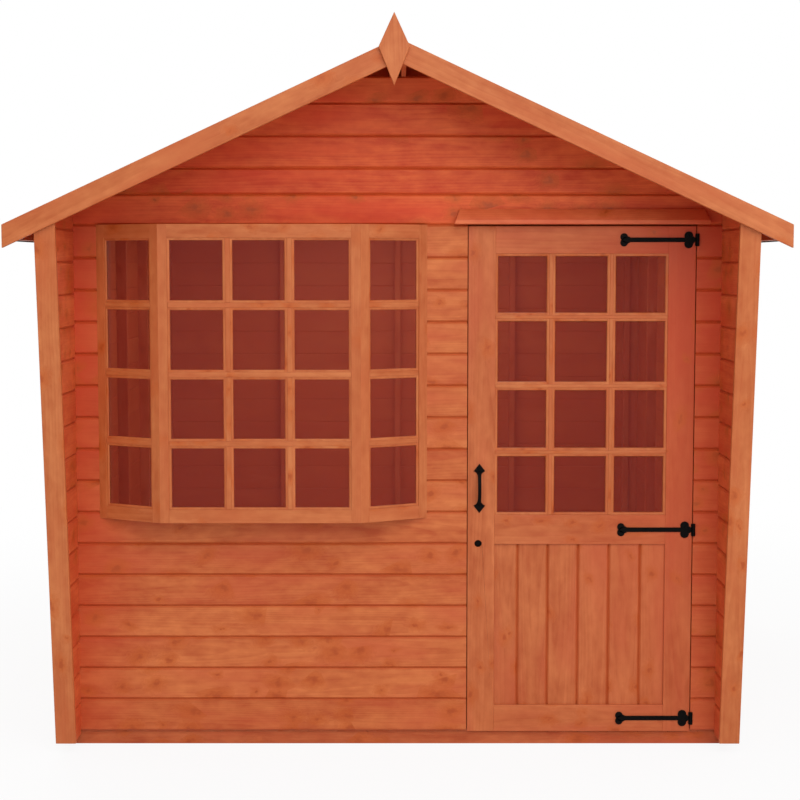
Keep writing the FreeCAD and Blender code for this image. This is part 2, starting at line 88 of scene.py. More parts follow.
class Body(Enum):
    """What a piece moves with."""

    HOUSE = "house"
    DOOR = "door"


class Slot(Enum):
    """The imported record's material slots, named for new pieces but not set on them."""

    CLADDING = "cladding"
    TRIM = "trim_timber"
    FRAMING = "framing_timber"
    FLOOR = "floor_board"
    ROOF = "roof_board"
    FELT = "roof_felt"
    IRON = "black_iron"


class Pick(Enum):
    """What edit mode selects."""

    EDGES = "EDGE"
    FACES = "FACE"


class Hand(NamedTuple):
    """One side of the house: 1 or -1 along X, and its name in the frame."""

    side: int
    name: str


HANDS = (Hand(-1, "left"), Hand(1, "right"))


def linear(colour: Colour) -> tuple[float, float, float, float]:
    """Turn a screen colour into the linear one that a shader takes, by the sRGB curve.

    Args:
        colour: Red, green and blue from 0 to 255.

    Returns:
        Linear red, green, blue and full alpha.
    """
    scaled = [c / 255 for c in colour]
    r, g, b = [c / 12.92 if c <= 0.04045 else ((c + 0.055) / 1.055) ** 2.4 for c in scaled]
    return r, g, b, 1.0


def operator(operation: str, swapped: bool = False) -> Callable[..., "Signal"]:
    """Make a method that runs a Math node on a signal and other values.

    Args:
        operation: The node's operation.
        swapped: Whether the other value comes first.

    Returns:
        The method.
    """
    def run(signal: "Signal", *others: Any) -> "Signal":
        """The node's result, from signals or plain numbers.

        Args:
            signal: The signal that the method belongs to.
            others: More signals or plain numbers.

        Returns:
            The node's result.
        """
        values = (*others, signal) if swapped else (signal, *others)
        node = signal.tree.add("ShaderNodeMath", dict(enumerate(values)), operation=operation)
        return Signal(signal.tree, node.outputs[0])

    return run


class Signal:
    """A number that varies over a surface, wrapped round a node's socket.

    It adds, subtracts, multiplies, divides and takes powers like a number. part is what is
    left after the whole number, and above is one over a level and nothing under it.
    """

    __add__, __radd__ = operator("ADD"), operator("ADD", swapped=True)
    __sub__, __rsub__ = operator("SUBTRACT"), operator("SUBTRACT", swapped=True)
    __mul__, __truediv__, __pow__ = operator("MULTIPLY"), operator("DIVIDE"), operator("POWER")
    root, part, above = operator("SQRT"), operator("FRACT"), operator("GREATER_THAN")

    def __init__(self, tree: "Tree", socket: bpy.types.NodeSocket) -> None:
        """Keep the tree and the socket."""
        self.tree = tree
        self.socket = socket

    def clamp(self) -> "Signal":
        """Held between nothing and one."""
        return Signal(self.tree, self.tree.add("ShaderNodeClamp", {"Value": self}).outputs[0])

    def rise(self, low: Any, high: Any) -> "Signal":
        """Smooth step that leaves nothing at one level and reaches one at another."""
        sockets = {"Value": self, "From Min": low, "From Max": high}
        return Signal(self.tree, self.tree.add(
            "ShaderNodeMapRange", sockets, interpolation_type="SMOOTHSTEP").outputs[0])


class Tree:
    """The nodes of a material or of the studio's surround."""

    def __init__(self, owner: Any) -> None:
        """Start without nodes.

        Args:
            owner: The material or world that they belong to.
        """
        owner.use_nodes = True
        self.owner = owner
        self.nodes = owner.node_tree.nodes
        self.links = owner.node_tree.links
        self.nodes.clear()

    @classmethod
    def finish_called(cls, name: str) -> "Tree":
        """The nodes of a new material."""
        return cls(bpy.data.materials.new(name))

    def add(self, kind: str, sockets: Mapping[Any, Any] | None = None, **settings: Any) -> bpy.types.Node:
        """Add any node.

        Args:
            kind: The node's type.
            sockets: Values, signals or sockets for its inputs, by name or number.
            settings: Its properties, set before its sockets.

        Returns:
            The node.
        """
        node = self.nodes.new(kind)
        for name, value in settings.items():
            setattr(node, name, value)
        for name, value in (sockets or {}).items():
            source = value.socket if isinstance(value, Signal) else value
            if isinstance(source, bpy.types.NodeSocket):
                self.links.new(source, node.inputs[name])
            else:
                node.inputs[name].default_value = source
        return node

    def attribute(self, name: str, output: str) -> bpy.types.NodeSocket:
        """A value that the mesh carries."""
        node = self.add("ShaderNodeAttribute", attribute_name=name, attribute_type="GEOMETRY")
        return node.outputs[output]

    def place(self) -> bpy.types.NodeSocket:
        """The shaded point in the object's own frame."""
        return self.add("ShaderNodeTexCoord").outputs["Object"]

    def split(self, vector: bpy.types.NodeSocket) -> tuple[Signal, Signal, Signal]:
        """The three numbers of a vector."""
        x, y, z = (Signal(self, out) for out in self.add("ShaderNodeSeparateXYZ", {0: vector}).outputs)
        return x, y, z

    def vector(self, x: Any, y: Any, z: Any) -> bpy.types.NodeSocket:
        """A vector from three numbers or signals."""
        return self.add("ShaderNodeCombineXYZ", {0: x, 1: y, 2: z}).outputs[0]

    def noise(self, vector: bpy.types.NodeSocket, scale: float, detail: float) -> Signal:
        """Soft noise round one half, with so many lumps to the unit and so many finer layers."""
        node = self.add("ShaderNodeTexNoise", {"Vector": vector, "Scale": scale, "Detail": detail})
        return Signal(self, node.outputs[0])

    def mix(self, factor: Any, first: Any, second: Any) -> bpy.types.NodeSocket:
        """Two colours or their sockets mixed, by the share of the second."""
        sockets = {0: factor, 6: first, 7: second}
        return self.add("ShaderNodeMix", sockets, data_type="RGBA", clamp_factor=True).outputs[2]

    def bump(self, height: Signal, distance: float, strength: float = 1.0) -> bpy.types.NodeSocket:
        """A normal from a height signal."""
        sockets = {"Height": height, "Distance": distance, "Strength": strength}
        return self.add("ShaderNodeBump", sockets).outputs[0]

    def surface(self, sockets: Mapping[Any, Any]) -> bpy.types.Material:
        """Close the tree with the standard shader.

        Args:
            sockets: The shader's inputs.

        Returns:
            The finished material.
        """
        shader = self.add("ShaderNodeBsdfPrincipled", sockets)
        self.add("ShaderNodeOutputMaterial", {"Surface": shader.outputs[0]})
        return self.owner

    def seen_plainly(self) -> Signal:
        """One for what the camera, a reflection or a pane sees.

        Returns:
            The signal, nothing for light that bounces off matt faces.
        """
        path = self.add("ShaderNodeLightPath")
        names = ("Is Camera Ray", "Is Glossy Ray", "Is Transmission Ray")
        camera, glossy, through = (Signal(self, path.outputs[name]) for name in names)
        return (camera + glossy + through).clamp()


@dataclass(frozen=True)
class Figure:
    """A layer of noise in the wood: lumps to the metre each way, finer layers, and its start."""

    along: float
    across: float
    detail: float = 2.0
    start: float = 0.0

    def read(self, tree: Tree, place: Sequence[Any]) -> Signal:
        """The layer at a place that is given as along, across and deep in the plank."""
        along, across, deep = place[0] * self.along, place[1] * self.across, place[2] * self.across
        return tree.noise(tree.vector(along + self.start, across, deep), 1.0, self.detail)


@dataclass(frozen=True)
class StainedTimber:
    """Softwood dipped in an orange-brown stain.

    It reads three values from the mesh: stock, the place in the plank that the
    piece was cut from, tone, the plank's own shade, and joint, one at the
    bottom of a joint.
    """

    name: str
    light: Colour
    dark: Colour
    shade: float = 0.42
    blush: Colour = (196, 86, 50)
    blush_from: float = 0.46
    blush_sharp: float = 4.0
    blush_weight: float = 0.55
    ring_gap: float = 0.0062
    ring_weight: float = 0.26
    late_ends: tuple[float, float] = (0.86, 1.0)
    taper: float = 0.011
    wander: Figure = Figure(1.1, 7.0)
    wander_by: float = 0.034
    halo_bend: float = 0.020
    patch: Figure = Figure(3.0, 11.0, 3.0)
    patch_weight: float = 1.25
    fibre: Figure = Figure(9.0, 260.0, 3.0)
    fibre_weight: float = 0.34
    streak: Figure = Figure(1.6, 46.0)
    streak_weight: float = 0.55
    mottle: Figure = Figure(17.0, 34.0, 3.0)
    mottle_weight: float = 1.10
    hue: Figure = Figure(2.1, 9.0, start=7.0)
    tone_weight: float = 0.35
    knot: Colour = (166, 68, 22)
    knot_step: float = 0.115
    knot_across: float = 0.070
    knot_drawn: float = 0.55
    knot_share: float = 0.36
    knot_least: float = 0.0085
    knot_range: float = 0.0190
    knot_depth: float = 0.74
    knot_edge: tuple[float, float] = (0.10, 0.95)
    ragged: Figure = Figure(48.0, 60.0, 3.0)
    ragged_middle: float = 0.45
    ragged_by: float = 0.040
    ember: Colour = (186, 84, 24)
    ember_edge: tuple[float, float] = (0.5, 2.6)
    ember_weight: float = 0.55
    pooled: Colour = (182, 74, 32)
    pooled_weight: float = 0.50
    # corner and the five numbers after it paint shade: a deeper, redder colour towards the wings and the
    # top, standing in for the shade and red bounce light there.
    corner: Colour = (192, 58, 26)
    corner_from: float = 0.86
    corner_to: float = 1.17
    corner_shade_weight: float = 0.0
    corner_low: float = 0.45
    corner_high: float = 1.75
    rough: float = 0.56
    rough_swing: float = 0.20
    knot_shine: float = 0.12
    gloss: float = 0.30
    relief: float = 0.00030
    fibre_high: float = 0.6
    ring_high: float = 0.5
    knot_sunk: float = 0.3

    def material(self) -> bpy.types.Material:
        """The stained timber as a material.

        Returns:
            The material.
        """
        tree = Tree.finish_called(self.name)
        place = tree.split(tree.attribute("stock", "Vector"))
        tone, joint = (Signal(tree, tree.attribute(name, "Fac")) for name in ("tone", "joint"))
        core, halo = self._knots(tree, place[0], place[1])
        late = self._late_wood(tree, place, halo)
        layers = (self.patch, self.fibre, self.streak, self.mottle, self.hue)
        patch, fibre, streak, mottle, hue = (layer.read(tree, place) for layer in layers)
        share = late * self.ring_weight
        for signal, weight in ((patch, self.patch_weight), (fibre, self.fibre_weight),
                               (streak, self.streak_weight), (mottle, self.mottle_weight),
                               (tone, self.tone_weight)):
            share = share + (signal - MIDDLE) * weight
        colour = tree.mix((share + self.shade).clamp(), linear(self.light), linear(self.dark))
        flush = ((hue - self.blush_from) * self.blush_sharp).clamp() * self.blush_weight
        colour = tree.mix(flush, colour, linear(self.blush))
        # Painted shade: redder and darker towards the wings and the top, by place in the object's frame.
        if self.corner_shade_weight:
            colour = tree.mix(self._corner_shade(tree) * self.corner_shade_weight, colour, linear(self.corner))
        colour = tree.mix((halo * self.ember_weight).clamp(), colour, linear(self.ember))
        colour = tree.mix((core * self.knot_depth).clamp(), colour, linear(self.knot))
        colour = tree.mix(joint * self.pooled_weight, colour, linear(self.pooled))
        height = fibre * self.fibre_high + late * self.ring_high - core * self.knot_sunk
        rough = (fibre - MIDDLE) * self.rough_swing + (self.rough - core * self.knot_shine)
        return tree.surface({
            "Base Color": colour, "Roughness": rough, "Normal": tree.bump(height, self.relief),
            "Specular IOR Level": self.gloss,
        })

    def _late_wood(self, tree: Tree, place: Sequence[Signal], halo: Signal) -> Signal:
        """The dark part of each yearly ring.

        Args:
            tree: The material's nodes.
            place: Along, across and deep in the plank.
            halo: The troubled grain round the knots, which bends the rings.

        Returns:
            One at the ring's end.
        """
        along, across, deep = place
        radius = (across ** 2.0 + deep ** 2.0).root() + along * self.taper
        radius = radius + (self.wander.read(tree, place) - MIDDLE) * self.wander_by + halo * self.halo_bend
        ring = (radius / self.ring_gap).part()
        return ring ** 2.0 * (1.0 - ring.rise(*self.late_ends))

    def _corner_shade(self, tree: Tree) -> Signal:
        """How near a point is to an upper corner of the front, where shade is painted.

        Args:
            tree: The material's nodes.

        Returns:
            One in the corner itself.
        """
        x, _, z = tree.split(tree.place())
        lift = z.rise(0.0, self.corner_high) * (1.0 - self.corner_low) + self.corner_low
        return (x ** 2.0).root().rise(self.corner_from, self.corner_to) * lift

    def _knots(self, tree: Tree, along: Signal, across: Signal) -> tuple[Signal, Signal]:
        """Knots, some round and some drawn out along the plank.

        Args:
            tree: The material's nodes.
            along: Place along the plank.
            across: Place across it.

        Returns:
            The knot itself, and the troubled grain round it.
        """
        place = tree.vector(along / self.knot_step, across / self.knot_across, 0.0)
        cell = tree.add("ShaderNodeTexVoronoi", {"Vector": place, "Scale": 1.0},
                        voronoi_dimensions="2D", feature="F1")
        chance, size, lean = tree.split(cell.outputs["Color"])
        near_along, near_across, _ = tree.split(cell.outputs["Position"])
        side = across - near_across * self.knot_across
        step = along - near_along * self.knot_step + side * (lean - MIDDLE)
        step = step * (1.0 - lean * self.knot_drawn)
        ragged = (self.ragged.read(tree, (along, across, 0.0)) - self.ragged_middle) * self.ragged_by
        far = ((step ** 2.0 + side ** 2.0).root() + ragged) / (size * self.knot_range + self.knot_least)
        there = chance.above(1.0 - self.knot_share)
        return (1.0 - far.rise(*self.knot_edge)) * there, (1.0 - far.rise(*self.ember_edge)) * there


@dataclass(frozen=True)
class MineralFelt:
    """Roofing felt with a face of slate granules."""

    name: str
    light: Colour = (88, 90, 92)
    dark: Colour = (38, 39, 41)
    shade: float = 0.42
    grain_scale: float = 620.0
    grain_weight: float = 1.5
    patch_scale: float = 3.2
    patch_weight: float = 0.7
    fleck_scale: float = 420.0
    fleck_weight: float = 0.5
    rough: float = 0.90
    grain_shine: float = 0.08
    height: float = 0.6
    relief: float = 0.0007
    gloss: float = 0.25

    def material(self) -> bpy.types.Material:
        """The felt as a material.

        Returns:
            The material.
        """
        tree = Tree.finish_called(self.name)
        place = tree.place()
        grain = tree.noise(place, self.grain_scale, 2.0)
        patch = tree.noise(place, self.patch_scale, 3.0)
        cell = tree.add("ShaderNodeTexVoronoi", {"Vector": place, "Scale": self.fleck_scale})
        fleck = Signal(tree, cell.outputs["Distance"])
        share = (grain - MIDDLE) * self.grain_weight + (patch - MIDDLE) * self.patch_weight
        share = (share + (MIDDLE - fleck) * self.fleck_weight + self.shade).clamp()
        return tree.surface({
            "Base Color": tree.mix(share, linear(self.dark), linear(self.light)),
            "Roughness": self.rough - grain * self.grain_shine,
            "Normal": tree.bump(grain * self.height + fleck * self.height, self.relief),
            "Specular IOR Level": self.gloss,
        })


@dataclass(frozen=True)
class BlackIron:
    """Black lacquered iron, lightly pitted."""

    name: str
    light: Colour = (12, 7, 6)
    dark: Colour = (4, 3, 3)
    pit_scale: float = 340.0
    pit_weight: float = 0.9
    patch_scale: float = 45.0
    rough: float = 0.52
    rough_swing: float = 0.25
    relief: float = 0.0005
    gloss: float = 0.06

    def material(self) -> bpy.types.Material:
        """The iron as a material.

        Returns:
            The material.
        """
        tree = Tree.finish_called(self.name)
        place = tree.place()
        pits = tree.noise(place, self.pit_scale, 3.0)
        patch = tree.noise(place, self.patch_scale, 2.0)
        share = ((pits - MIDDLE) * self.pit_weight + patch).clamp()
        return tree.surface({
            "Base Color": tree.mix(share, linear(self.dark), linear(self.light)),
            "Roughness": (pits - MIDDLE) * self.rough_swing + self.rough,
            "Normal": tree.bump(pits, self.relief),
            "Specular IOR Level": self.gloss,
        })


@dataclass(frozen=True)
class Nail:
    """Nail heads, dulled by weather or by the stain."""

    name: str
    light: Colour = (150, 150, 148)
    dark: Colour = (92, 92, 90)
    metallic: float = 0.6
    bloom_scale: float = 260.0
    rough: float = 0.4
    rough_swing: float = 0.3

    def material(self) -> bpy.types.Material:
        """The nail heads as a material.

        Returns:
            The material.
        """
        tree = Tree.finish_called(self.name)
        bloom = tree.noise(tree.place(), self.bloom_scale, 3.0)
        return tree.surface({
            "Base Color": tree.mix(bloom, linear(self.dark), linear(self.light)),
            "Roughness": self.rough + bloom * self.rough_swing,
            "Metallic": self.metallic,
        })


@dataclass(frozen=True)
class WindowGlass:
    """Horticultural glass, tinted red-brown in painted shade of the dim wooden inside seen through it,
    clouded by a dust noise.
    """

    name: str
    # Painted shade: the red-brown tint stands in for the dim, shaded wooden inside seen through the pane.
    shade_tint: Colour = (142, 54, 46)
    thin_shade_tint: Colour = (130, 46, 42)
    dust_scale: float = 4.0
    alpha: float = 0.30
    alpha_swing: float = 0.10
    rough: float = 0.04
    rough_swing: float = 0.06
    ripple_scale: float = 2.2
    ripple_deep: float = 0.0015
    ripple_weight: float = 0.25
    gloss: float = 0.10

    def material(self) -> bpy.types.Material:
        """The glass as a material.

        Returns:
            The material.
        """
        tree = Tree.finish_called(self.name)
        place = tree.place()
        dust = tree.noise(place, self.dust_scale, 4.0)
        ripple = tree.noise(place, self.ripple_scale, 1.0)
        return tree.surface({
            "Base Color": tree.mix(dust, linear(self.shade_tint), linear(self.thin_shade_tint)),
            "Roughness": self.rough + dust * self.rough_swing,
            "Alpha": (dust - MIDDLE) * self.alpha_swing + self.alpha,
            "Normal": tree.bump(ripple, self.ripple_deep, self.ripple_weight),
            "Specular IOR Level": self.gloss,
        })


@dataclass(frozen=True)
class PaleFloor:
    """Studio floor that is white for the camera and keeps the object's shadow."""

    name: str
    colour: Colour = (245, 245, 245)
    glow: float = 0.90
    shadow_ends: float = 2.0
    all_white: float = 5.5

    def material(self) -> bpy.types.Material:
        """The floor as a material.

        Returns:
            The material.
        """
        tree = Tree.finish_called(self.name)
        x, y, _ = tree.split(tree.place())
        away = (x ** 2.0 + y ** 2.0).root().rise(self.shadow_ends, self.all_white)
        white = tree.seen_plainly() * (away * (1.0 - self.glow) + self.glow)
        matt = tree.add("ShaderNodeBsdfDiffuse", {"Color": linear(self.colour)})
        lit = tree.add("ShaderNodeEmission", {"Color": WHITE, "Strength": 1.0})
        both = tree.add("ShaderNodeMixShader", {0: white, 1: matt.outputs[0], 2: lit.outputs[0]})
        tree.add("ShaderNodeOutputMaterial", {"Surface": both.outputs[0]})
        return tree.owner


class Bench:
    """The modelling steps that the sub-assemblies share."""

    arris_angle: float = math.radians(28)
    smoothing: int = 2

    @staticmethod
    def clear() -> None:
        """Leave edit mode and deselect everything."""
        if bpy.context.object and bpy.context.object.mode != "OBJECT":
            bpy.ops.object.mode_set(mode="OBJECT")
        bpy.ops.object.select_all(action="DESELECT")

    @staticmethod
    def hold(pieces: Sequence[Piece]) -> None:
        """Select these pieces alone, the first one active.

        Args:
            pieces: The pieces.
        """
        Bench.clear()
        for piece in pieces:
            piece.select_set(True)
        bpy.context.view_layer.objects.active = pieces[0]

    @staticmethod
    def block(name: str, low: Sequence[float], high: Sequence[float]) -> Piece:
        """Add a block between two corners, to be shaped further.

        Args:
            name: The piece's name.
            low: Lowest corner.
            high: Highest corner.

        Returns:
            The block.
        """
        Bench.clear()
        a, b = Vector(low), Vector(high)
        bpy.ops.mesh.primitive_cube_add(size=1.0, location=(a + b) / 2, scale=b - a)
        bpy.ops.object.transform_apply(location=True, rotation=True, scale=True)
        piece = bpy.context.object
        piece.name = piece.data.name = name
        return piece

    @staticmethod
    def pick(piece: Piece, kind: Pick, test: Callable[[Any], bool]) -> None:
        """Enter edit mode with some edges or faces selected.

        Args:
            piece: The piece to work on.
            kind: Edges or faces.
            test: Says which ones.
        """
        Bench.hold([piece])
        bpy.ops.object.mode_set(mode="EDIT")
        bpy.ops.mesh.select_mode(type=kind.value)
        bpy.ops.mesh.select_all(action="DESELECT")
        mesh = bmesh.from_edit_mesh(piece.data)
        for item in mesh.edges if kind is Pick.EDGES else mesh.faces:
            item.select_set(test(item))
        mesh.select_flush_mode()
        bmesh.update_edit_mesh(piece.data)

    @staticmethod
    def pick_all(piece: Piece) -> None:
        """Enter edit mode with every face selected."""
        Bench.pick(piece, Pick.FACES, lambda face: True)

    @staticmethod
    def bevel(piece: Piece, test: Callable[[Any], bool], width: float, segments: int = 1) -> None:
        """Bevel some edges.

        Args:
            piece: The piece to work on.
            test: Says which edges.
            width: Width of the bevel.
            segments: Facets across it.
        """
        Bench.pick(piece, Pick.EDGES, test)
        bpy.ops.mesh.bevel(offset=width, segments=segments, affect="EDGES", clamp_overlap=False)
        Bench.clear()

    @staticmethod
    def extrude(move: Sequence[float]) -> None:
        """Pull the picked faces out by this much."""
        bpy.ops.mesh.extrude_region_move(TRANSFORM_OT_translate={"value": move})

    @staticmethod
    def cut(piece: Piece, point: Vector, normal: Vector) -> bool:
        """Saw off what lies beyond a plane, and close the cut.

        Args:
            piece: The piece to saw.
            point: A point on the plane.
            normal: Points to the side that goes.

        Returns:
            Whether anything is left.
        """
        sides = [(v.co - point).dot(normal) for v in piece.data.vertices]
        if not sides or min(sides) > -TINY:
            bpy.data.objects.remove(piece)
            return False
        if max(sides) > TINY:
            Bench.pick_all(piece)
            bpy.ops.mesh.bisect(plane_co=point, plane_no=normal, use_fill=True, clear_outer=True)
            Bench.clear()
        return True

    @staticmethod
    def combine(piece: Piece, other: Piece, operation: str) -> None:
        """Join another solid to a piece, or take its shape out of it.

        Args:
            piece: The piece that changes.
            other: The solid, which is used up.
            operation: UNION or DIFFERENCE.
        """
        change = piece.modifiers.new("fit", "BOOLEAN")
        change.operation, change.object, change.solver = operation, other, "EXACT"
        Bench.hold([piece])
        bpy.ops.object.modifier_apply(modifier=change.name)
        bpy.data.objects.remove(other)

    @staticmethod
    def soften(piece: Piece, width: float, segments: int = smoothing) -> None:
        """Round every sharp arris of a piece.

        Args:
            piece: The piece to work on.
            width: Width of the rounding.
            segments: Facets across it.
        """
        change = piece.modifiers.new("arris", "BEVEL")
        change.width, change.segments = width, segments
        change.limit_method, change.angle_limit = "ANGLE", Bench.arris_angle
        change.use_clamp_overlap = False
        Bench.hold([piece])
        bpy.ops.object.modifier_apply(modifier=change.name)

    @staticmethod
    def copy(piece: Piece, name: str) -> Piece:
        """A copy with its own mesh, unattached.

        Args:
            piece: What is copied.
            name: The copy's name.

        Returns:
            The copy.
        """
        twin = bpy.data.objects.new(name, piece.data.copy())
        twin.data.name = name
        bpy.context.scene.collection.objects.link(twin)
        return twin

    @staticmethod
    def parts(piece: Piece) -> list[Piece]:
        """Take a piece apart into its loose solids.

        Args:
            piece: The piece.

        Returns:
            Its solids.
        """
        Bench.hold([piece])
        bpy.ops.object.mode_set(mode="EDIT")
        bpy.ops.mesh.select_all(action="SELECT")
        bpy.ops.mesh.separate(type="LOOSE")
        bpy.ops.object.mode_set(mode="OBJECT")
        return list(bpy.context.selected_objects)

    @staticmethod
    def join(pieces: Sequence[Piece], name: str) -> Piece:
        """Make several pieces one.

        Args:
            pieces: What is joined.
            name: The new name.

        Returns:
            The joined piece.
        """
        Bench.hold(pieces)
        if len(pieces) > 1:
            bpy.ops.object.join()
        joined = bpy.context.view_layer.objects.active
        joined.name = joined.data.name = name
        return joined


@dataclass
class Timberyard:
    """Says which plank each piece is cut from, always in the same order."""

    seed: int = 8
    longest: float = 60.0
    off_centre: float = 0.05
    pith_near: float = 0.025
    pith_far: float = 0.14

    def __post_init__(self) -> None:
        """Start the row of planks."""
        self.chance = random.Random(self.seed)

    def cut_from_plank(self, piece: Piece, axes: Matrix,
                       joint: Callable[[Vector], float] = lambda place: 0.0) -> None:
        """Write a piece's place in its plank, its tone and its joints on the mesh.

        Args:
            piece: One solid piece.
            axes: Rows that turn a place into along, across and deep.
            joint: Gives how far a place lies in a joint.
        """
        mesh = piece.data
        places = [axes @ v.co for v in mesh.vertices]
        middle = (min(p.y for p in places) + max(p.y for p in places)) / 2
        front = min(p.z for p in places)
        start = self.chance.uniform(0.0, self.longest)
        side = self.chance.uniform(-self.off_centre, self.off_centre)
        pith = self.chance.uniform(self.pith_near, self.pith_far)
        shift = Vector((start, side - middle, pith - front))
        stock = [number for place in places for number in place + shift]
        tone = self.chance.random()
        depths = [joint(v.co) for v in mesh.vertices]
        for name, kind, key, values in (("stock", "FLOAT_VECTOR", "vector", stock),
                                        ("tone", "FLOAT", "value", [tone] * len(places)),
                                        ("joint", "FLOAT", "value", depths)):
            if name in mesh.attributes:
                mesh.attributes.remove(mesh.attributes[name])
            mesh.attributes.new(name, kind, "POINT").data.foreach_set(key, values)

    def follow_length(self, piece: Piece, grain: Vector | None = None) -> None:
        """Cut a piece from a plank that runs along its longest edge.

        Args:
            piece: One solid piece.
            grain: The way the grain runs, if not along the longest edge.
        """
        mesh = piece.data
        ends = [mesh.vertices[e.vertices[1]].co - mesh.vertices[e.vertices[0]].co for e in mesh.edges]
        along = (grain or max(ends, key=lambda v: round(v.length, 5))).normalized()
        widest = max(mesh.polygons, key=lambda face: round(face.area, 6)).normal
        deep = (widest - along * widest.dot(along)).normalized()
        self.cut_from_plank(piece, Matrix((along, deep.cross(along), deep)))


@dataclass
class Finishes:
    """Every material of the summerhouse, made once."""

    cladding: StainedTimber = StainedTimber("cladding_stain", light=(210, 116, 64), dark=(176, 76, 34))
    # The front's boards: the cladding stain with painted shade towards the wings and the top.
    front: StainedTimber = StainedTimber(
        "front_corner_shaded_stain", light=(212, 120, 66), dark=(176, 76, 33), corner_shade_weight=0.85)
    # Painted shade: a redder, darker copy of the cladding stain for the boards under the roof's overhang,
    # standing in for its shade and red bounce light, with corner shade too.
    gable: StainedTimber = StainedTimber(
        "gable_shaded_stain", light=(228, 106, 52), dark=(190, 58, 22), blush=(212, 66, 32), corner_shade_weight=0.50)
    # Painted shade: a redder copy of the cladding stain for the wings' inner faces, standing in for their
    # shade and red bounce light.
    lining: StainedTimber = StainedTimber(
        "wing_shaded_stain", light=(222, 110, 60), dark=(190, 70, 32), blush=(200, 70, 36))
    trim: StainedTimber = StainedTimber(
        "trim_stain", light=(204, 119, 68), dark=(176, 84, 38), blush=(192, 94, 50), rough=0.50,
        knot=(168, 72, 24), ember=(190, 88, 28), knot_share=0.32, knot_range=0.0120, tone_weight=0.30)
    # Painted shade: darker and redder towards the hinge side and the head of the door, where the drip board
    # and roof shade it.
    door: StainedTimber = StainedTimber(
        "door_shaded_stain", light=(204, 115, 66), dark=(174, 82, 38), blush=(192, 88, 52), rough=0.50,
        knot_share=0.24, knot_range=0.0080, tone_weight=0.25, corner=(186, 62, 28),
        corner_from=0.45, corner_to=1.15, corner_shade_weight=0.95, corner_low=0.20, corner_high=1.95)
    # Painted light and shade: a lighter copy of the stain to make up for the shade under the eaves, with
    # painted shade towards its outer end.
    drip_lit_and_shaded: StainedTimber = StainedTimber(
        "drip_lit_and_shaded_stain", light=(222, 116, 70), dark=(196, 84, 46), blush=(212, 88, 56), rough=0.50,
        knot_share=0.24, knot_range=0.0080, tone_weight=0.25, corner=(206, 70, 36), corner_shade_weight=0.60)
    framing: StainedTimber = StainedTimber(
        "framing_stain", light=(204, 110, 64), dark=(172, 76, 38), rough=0.70, relief=0.0007,
        fibre_weight=0.5)
    floor: StainedTimber = StainedTimber(
        "floor_stain", light=(206, 128, 84), dark=(170, 88, 50), rough=0.62)
    roof: StainedTimber = StainedTimber(
        "roof_board_stain", light=(204, 106, 60), dark=(174, 74, 38), rough=0.66)
    felt: MineralFelt = MineralFelt("slate_felt")
    iron: BlackIron = BlackIron("black_iron_lacquer")
    clout: Nail = Nail("zinc_clouts")
    pin: Nail = Nail("stained_pins", light=(150, 78, 44), dark=(104, 48, 26), metallic=0.2)
    glass: WindowGlass = WindowGlass("horticultural_glass")
    made: dict[str, bpy.types.Material] = field(default_factory=dict)

    def put(self, piece: Piece, finish: Any) -> None:
        """Give a piece one finish all over.

        Args:
            piece: The piece.
            finish: One of the finishes above.
        """
        if finish.name not in self.made:
            self.made[finish.name] = finish.material()
        piece.data.materials.clear()
        piece.data.materials.append(self.made[finish.name])


@dataclass
class Workshop:
    """What every sub-assembly works with."""

    nodes: Mapping[str, Piece]
    finishes: Finishes = field(default_factory=Finishes)
    yard: Timberyard = field(default_factory=Timberyard)
    flat: float = math.radians(0.2)

    def deliver(self, parts: Sequence[Piece], name: str, body: Body, slot: Slot, finish: Any,
                replaced: Sequence[str] = ()) -> None:
        """Join the parts of a piece, finish it and hang it on its body.

        Args:
            parts: Its parts, in their places.
            name: The piece's name.
            body: What it moves with.
            slot: The record's material slot; not used.
            finish: Its finish.
            replaced: The CAD nodes that it replaces.
        """
        piece = Bench.join(parts, name)
        self.finishes.put(piece, finish)
        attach(piece, body.value)
        if replaced:
            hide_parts(*replaced)
        LOG.info("%s: %d faces on %s", piece.name, len(piece.data.polygons), body.value)

    def planed(self, node: str, body: Body, slot: Slot, finish: Any, arris: float,
               grain: Vector | None = None) -> None:
        """Replace a CAD node by the same solids with eased arrises and their own grain.

        Args:
            node: The CAD node.
            body: What it moves with.
            slot: The record's material slot.
            finish: Its finish.
            arris: Width of the rounding.
            grain: The way the grain runs, if not along the longest edge.
        """
        piece = Bench.copy(self.nodes[node], node + "_planed")
        Bench.pick_all(piece)
        bpy.ops.mesh.remove_doubles(threshold=TINY)
        bpy.ops.mesh.dissolve_limited(angle_limit=self.flat)
        Bench.clear()
        solids = Bench.parts(piece)
        solids.sort(key=lambda o: tuple(round(x, 4) for x in o.data.vertices[0].co))
        for solid in solids:
            Bench.soften(solid, arris)
            self.yard.follow_length(solid, grain)
        self.deliver(solids, node + "_planed", body, slot, finish, [node])


